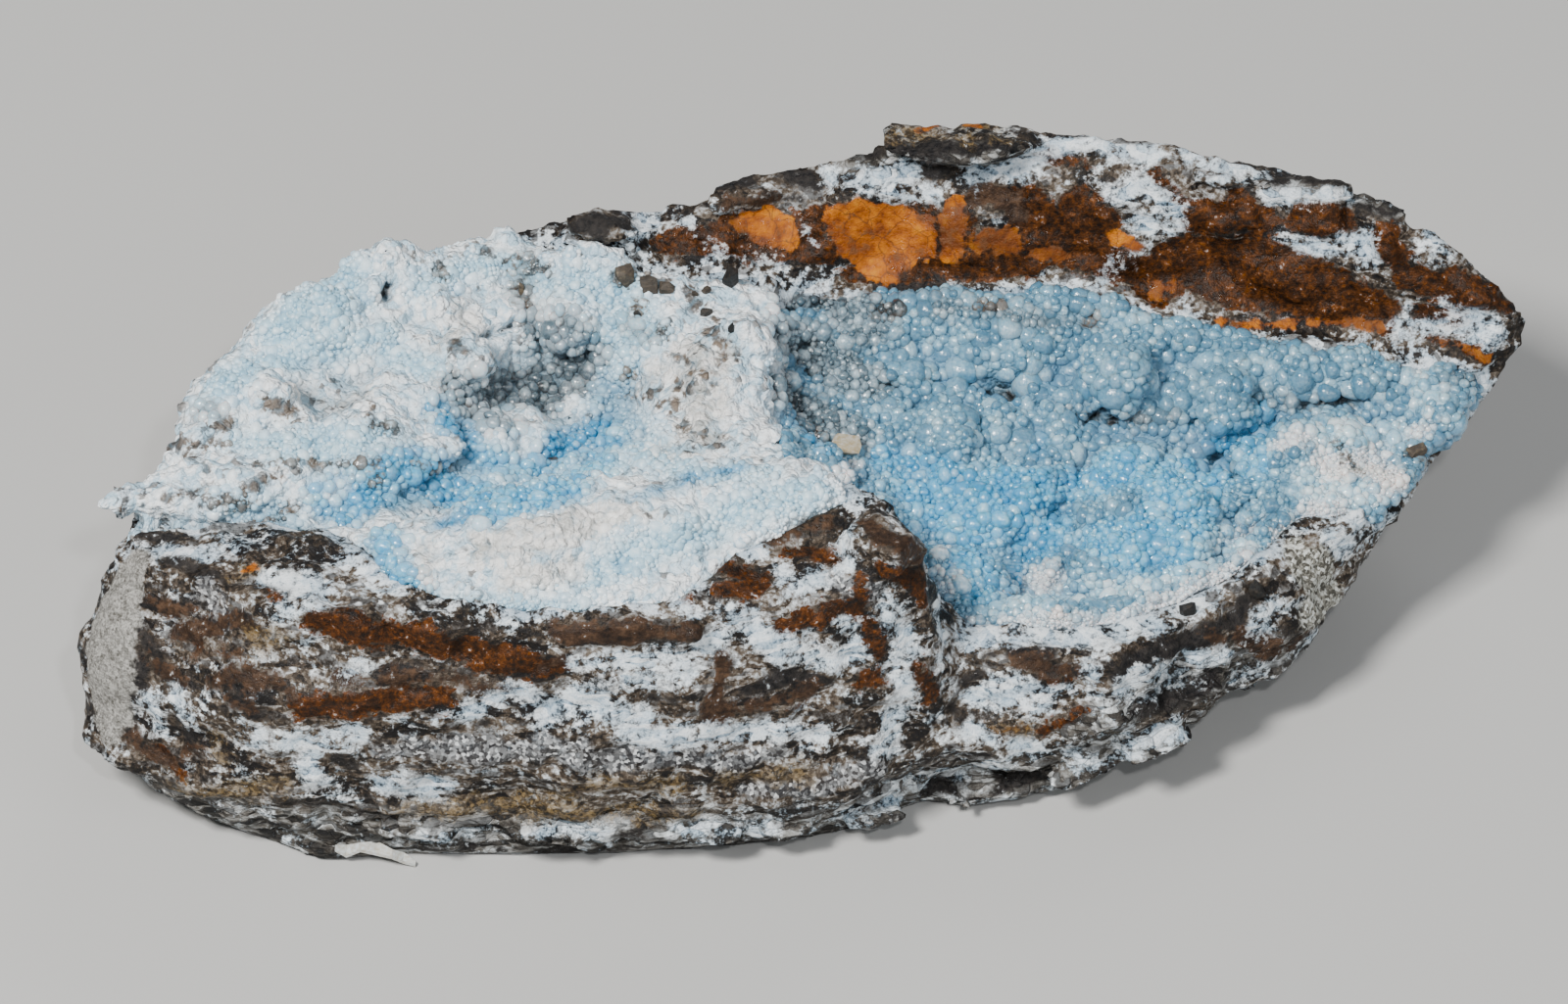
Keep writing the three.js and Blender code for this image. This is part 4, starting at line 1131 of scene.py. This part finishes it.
def turned_balls(points, normals, radii, draw):
    """Balls of given radii, each turned, stretched and dented a little, and the height up each."""
    count = len(radii)
    spin = draw.normal(size=(count, 4))
    spin /= np.linalg.norm(spin, axis=1, keepdims=True)
    w, x, y, z = spin.T
    turn = np.stack([
        1 - 2 * (y * y + z * z), 2 * (x * y - w * z), 2 * (x * z + w * y),
        2 * (x * y + w * z), 1 - 2 * (x * x + z * z), 2 * (y * z - w * x),
        2 * (x * z - w * y), 2 * (y * z + w * x), 1 - 2 * (x * x + y * y),
    ], axis=1).reshape(count, 3, 3)
    stretch = 1 + 0.3 * (draw.random((count, 1, 3)) - 0.5)
    balls = np.einsum("nij,nkj->nki", turn, points[None] * stretch)
    balls *= 1 + 0.08 * np.sin(4 * balls[:, :, :1] + 6 * draw.random((count, 1, 1)))
    rise = np.einsum("nki,ni->nk", balls, normals)
    return balls * radii[:, None, None], rise


def beads(name, seats, normals, radii, here, seed):
    """One joined mesh of beads, each seated on its place, with the paint of its place kept."""
    draw = np.random.default_rng(seed)
    kept = defaultdict(list)
    triangles = []
    start = 0
    for form, chosen in ((ball(1), radii < FEW_FACES_BELOW), (ball(2), radii >= FEW_FACES_BELOW)):
        points, faces = form
        count = int(chosen.sum())
        balls, rise = turned_balls(points, normals[chosen], radii[chosen], draw)
        kept["place"].append((seats[chosen][:, None] + balls).reshape(-1, 3))
        kept["rise"].append(np.clip(rise, -1, 1).ravel())
        kept["pick"].append(np.repeat(draw.random(count), len(points)))
        for kind in ALLOPHANE:
            kept[kind].append(np.repeat(here[kind][chosen], len(points)))
        offsets = start + np.arange(count) * len(points)
        triangles += (faces[None] + offsets[:, None, None]).reshape(-1, 3).tolist()
        start += count * len(points)
    kept = {kind: np.concatenate(values) for kind, values in kept.items()}
    places = kept.pop("place")
    places[:, 2] = np.maximum(places[:, 2], 0)
    mesh = bpy.data.meshes.new(name)
    mesh.from_pydata(places, [], triangles)
    mesh.polygons.foreach_set("use_smooth", [True] * len(mesh.polygons))
    piece = bpy.data.objects.new(name, mesh)
    bpy.context.scene.collection.objects.link(piece)
    for kind, values in kept.items():
        keep(piece, kind, values)
    keep(piece, "hollow", hollowness(places))
    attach(piece, "root")
    return piece


def bead_finish(name, glassy):
    material, shader, t = finish_of(name, {
        "Specular IOR Level": 0.55, "IOR": 1.48, "Coat Roughness": 0.06,
        "Subsurface Weight": 0.5 if glassy else 0, "Subsurface Scale": 1.1 * MM,
        "Subsurface Radius": (0.45, 0.85, 1.0), "Coat Weight": 0.7 if glassy else 0.2})
    at = t.scaled(1, 1, 1)
    mottle = t.cloud(at, 0.3, 2, 0.6)
    fine = t.cloud(at, 1.9, 3, 0.6)
    pick = t.kept("pick")
    rise = t.kept("rise")
    colour = crust_colour(t, pick, fine, mottle)
    # Painted highlight: the top of each bead is mixed towards a pale blue-white.
    painted_top_highlight = (rise + 1.2 * (fine - 0.5)).step(0.5, 1.15) * (0.05 + 0.32 * pick * pick)
    colour = painted_top_highlight.between(colour, (0.74, 0.87, 0.92))
    # Painted shade: each bead darkens towards its foot, to near-black in smoky parts.
    foot = 1 - (rise + 0.3 * (fine - 0.5)).step(-0.1, 0.45)
    blueness = t.kept("blue").larger(t.kept("sky") - 1).step(-1, 1)
    shadow = blueness.between((0.26, 0.35, 0.41), (0.04, 0.23, 0.42))
    smoky = t.kept("smoke").step(-0.8, 0.8)
    shadow = smoky.between(shadow, (0.012, 0.016, 0.02))
    colour = (foot * (0.35 + 0.45 * smoky)).between(colour, shadow)
    rough = (0.14 if glassy else 0.3) + 0.4 * (fine - 0.4)
    height = t.cloud(at, 2.6, 2) - 0.5 * t.cells(at, 1.7)
    bump = t.node("ShaderNodeBump", None,
                  {"Strength": 0.35, "Distance": 0.28 * MM, "Height": height})
    feed(shader, Base_Color=colour, Roughness=rough, Normal=bump)
    return material


def roe(name, skin, paint, material, candidates, seed, size_at, spacing, sink):
    """Beads all over a skin. size_at gives each bead's radius, or 0 where none sits."""
    places, normals, here = seeds_on(skin, paint, candidates, seed)
    radii = size_at(places, here, np.random.default_rng(seed + 1)) * MM
    wanted = np.flatnonzero((radii > 0) & (here["gap"] < -0.25))
    wanted = wanted[thinned(places[wanted], radii[wanted] * spacing)]
    places, normals, radii = places[wanted], normals[wanted], radii[wanted]
    here = {kind: values[wanted] for kind, values in here.items()}
    sunk = radii * sink * ease(radii, 0, 1.5 * MM)
    piece = beads(name, places - normals * sunk[:, None], normals, radii, here, seed + 2)
    piece.data.materials.append(material)
    print(name, len(piece.data.polygons), "faces")


SHELF_Y = 0.006  # m, the right vug's upper shelf lies behind this and its mounds in front


def bead_radii(here, draw, least, spread):
    """Radii in mm, mostly near the least, smaller in chalky places and at a crust's edge."""
    span = draw.random(len(here["blue"])) ** 1.7
    radii = least + spread * span
    radii *= 1 - 0.5 * ease(here["chalk"], -0.6, 0.6)
    return radii * (0.5 + 0.5 * ease(here["inland"], 0.3, 0.9))


def shelf_sizes(places, here, draw):
    radii = bead_radii(here, draw, 0.62, 1.15) + 0.4 * ease(here["ledge"], -0.3, 0.5)
    return np.where(places[:, 1] > SHELF_Y, radii * (1 - 0.3 * ease(here["smoke"], -1, 1)), 0)


def mound_sizes(places, here, draw):
    radii = bead_radii(here, draw, 0.46, 0.95)
    return np.where(places[:, 1] <= SHELF_Y, radii, 0)


def hollow_sizes(places, here, draw):
    """Coarser beads in the left vug's blue floor and in its smoky hollow."""
    radii = bead_radii(here, draw, 0.5, 0.7) + 0.2 * ease(here["smoke"], -1, 1)
    return np.where(np.maximum(here["blue"], here["smoke"]) > -0.3, radii, 0)


def popcorn_sizes(places, here, draw):
    """Fine beads in clusters on the left vug's white rims, with bare skin between them."""
    radii = bead_radii(here, draw, 0.3, 0.65)
    cluster = np.array([noise.noise(Vector(place) / (3.5 * MM)) for place in places.tolist()])
    bare = (np.maximum(here["blue"], here["smoke"]) > -0.3) | (cluster + 0.3 * here["pale"] < -0.2)
    return np.where(bare, 0, radii)


glassy_beads = bead_finish("glassy_allophane", True)
powdery_beads = bead_finish("powdery_allophane", False)
roe("right_shelf_botryoids", right_skin, right_paint, glassy_beads, 40000, 3,
    shelf_sizes, 0.58, 0.6)
roe("right_mound_botryoids", right_skin, right_paint, glassy_beads, 40000, 23,
    mound_sizes, 0.58, 0.6)
roe("left_floor_botryoids", left_skin, left_paint, glassy_beads, 60000, 43,
    hollow_sizes, 0.6, 0.6)
roe("left_rim_botryoids", left_skin, left_paint, powdery_beads, 60000, 63,
    popcorn_sizes, 0.62, 0.9)


# Chips and flakes of the rock lie loose in the crusts, and one pale curled flake at the foot. Each
# has the photograph's pixel where it lies, its size in mm, its turn in degrees, how far it stands
# out of what carries it, in mm, and its tone, from 0 for black over brown and tan to 1 for white.
CHIPS = (
    ((748, 289), (2.2, 1.9, 2.4), 70, 0.7, 0.0),
    ((636, 285), (2.2, 2.0, 2.6), 15, 0.6, 0.3),
    ((661, 293), (2.2, 1.6, 1.9), 10, 0.5, 0.2),
    ((680, 294), (2.0, 1.2, 1.3), -10, 0.4, 0.25),
    ((721, 299), (1.1, 0.9, 0.9), 40, 0.3, 0.2),
    ((709, 302), (0.8, 0.6, 0.6), 0, 0.2, 0.15),
    ((721, 321), (1.4, 1.1, 1.2), 30, 0.3, 0.1),
    ((747, 336), (0.8, 0.8, 1.2), 0, 0.3, 0.0),
    ((651, 321), (1.0, 0.7, 1.2), -40, 0.3, 0.1),
    ((533, 300), (0.7, 0.7, 3.0), 0, 0.2, 0.35),
    ((1212, 626), (1.9, 1.5, 1.6), 20, 0.5, 0.0),
    ((1280, 606), (1.8, 1.8, 2.6), -30, 0.5, 0.05),
    ((1444, 462), (2.4, 1.6, 1.4), 30, 0.4, 0.3),
    ((864, 459), (3.9, 3.0, 1.0), -12, 0.9, 0.7),
    ((852, 455), (1.8, 1.6, 0.8), 30, 1.2, 0.65),
)
FLAKE = ((342, 866, 2.2, 0.5), (354, 869, 1.4, 1.3), (368, 865, 2.4, 0.9), (384, 866, 1.9, 1.5),
         (400, 872, 1.9, 0.9), (412, 876, 0.9, 1.1), (424, 882, 0.4, 0.4))  # pixel, height and width in mm along it
FLAKE_THICKNESS = 0.4 * MM

loose = bmesh.new()
loose_tones = []
for seed, (pixel, size, turn, out, tone) in enumerate(CHIPS):
    place, normal = on_specimen(*pixel, dressed_tree)
    chip = lump(size, turn, place + normal * out * MM, 100 + seed)
    loose_tones += [tone] * len(chip.verts)
    add_body(loose, chip)
strip = bmesh.new()
rings = []
for u, v, height, width in FLAKE:
    sight = toward(u, v)
    middle = camera.location + sight * ((camera.location.z - height * MM) / -sight.z)
    sides = Vector((0.1, 1, 0.35)).normalized() * width * MM / 2
    depth = Vector((0, 0, FLAKE_THICKNESS / 2))
    corners = (middle - sides - depth, middle + sides - depth, middle + sides + depth,
               middle - sides + depth)
    rings.append([strip.verts.new(corner) for corner in corners])
for first, second in zip(rings, rings[1:]):
    for i in range(4):
        strip.faces.new((first[i], second[i], second[i - 3], first[i - 3]))
strip.faces.new(rings[0])
strip.faces.new(rings[-1])
bmesh.ops.recalc_face_normals(strip, faces=strip.faces)
loose_tones += [0.88] * len(strip.verts)
add_body(loose, strip)
chips = bpy.data.objects.new("loose_chips", bpy.data.meshes.new("loose_chips"))
loose.to_mesh(chips.data)
loose.free()
bpy.context.scene.collection.objects.link(chips)
keep(chips, "tone", loose_tones)
chip_material, chip_shader, t = finish_of("loose_schist", {"Specular IOR Level": 0.4})
at = t.scaled(1, 1, 1)
fine = t.cloud(at, 2.2, 4, 0.6)
layers = t.cloud(t.scaled(0.5, 0.5, 4), 1.2, 4, 0.6)
chip_colour = (t.kept("tone") + 0.5 * (fine - 0.5) + 0.4 * (layers - 0.5)).ramp(
    (0.0, (0.008, 0.008, 0.008)), (0.33, (0.075, 0.058, 0.042)), (0.66, (0.36, 0.29, 0.17)),
    (1.0, (0.66, 0.71, 0.73)))
chip_bump = t.node("ShaderNodeBump", None,
                   {"Strength": 0.6, "Distance": 0.3 * MM, "Height": 0.6 * fine + layers})
feed(chip_shader, Base_Color=chip_colour, Roughness=0.4 + 0.4 * fine, Normal=chip_bump)
chips.data.materials.append(chip_material)
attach(chips, "root")


# The plain pale floor and soft studio light that the specimen is shown in.
def soft_light(name, place, size, power, tone):
    lamp = bpy.data.objects.new(name, bpy.data.lights.new(name, "AREA"))
    lamp.data.size = size
    lamp.data.energy = power
    lamp.data.color = tone
    lamp.location = place
    lamp.rotation_euler = (AIM - lamp.location).to_track_quat("-Z", "Y").to_euler()
    bpy.context.scene.collection.objects.link(lamp)


soft_light("key", Vector((-0.40, -0.45, 0.80)), 0.20, 14, (1.0, 0.98, 0.95))
soft_light("sparkle", Vector((0.10, -0.80, 0.85)), 0.05, 3.5, (1.0, 1.0, 1.0))
soft_light("fill", Vector((0.8, -0.6, 0.5)), 0.6, 3, (0.95, 0.98, 1.0))
soft_light("rim", Vector((0.3, 0.8, 0.6)), 0.5, 2.2, (1.0, 1.0, 1.0))
world = bpy.data.worlds.new("studio")
bpy.context.scene.world = world
world.use_nodes = True
world.node_tree.nodes["Background"].inputs["Color"].default_value = (0.9, 0.94, 1.0, 1)
world.node_tree.nodes["Background"].inputs["Strength"].default_value = 0.14

ground = bmesh.new()
bmesh.ops.create_grid(ground, x_segments=1, y_segments=1, size=3)
floor = bpy.data.objects.new("floor", bpy.data.meshes.new("floor"))
ground.to_mesh(floor.data)
ground.free()
bpy.context.scene.collection.objects.link(floor)
paper = {"Base Color": (0.50, 0.50, 0.49, 1), "Roughness": 0.8}
floor.data.materials.append(finish_of("pale_paper", paper)[0])
floor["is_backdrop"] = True

for piece in (rock, left_skin, right_skin):
    print(piece.name, sum(len(face.vertices) - 2 for face in piece.data.polygons), "triangles")
made_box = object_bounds()
print([[round((made_box[i][j] - solid_box[i][j]) / MM, 2) for j in range(3)] for i in range(2)])
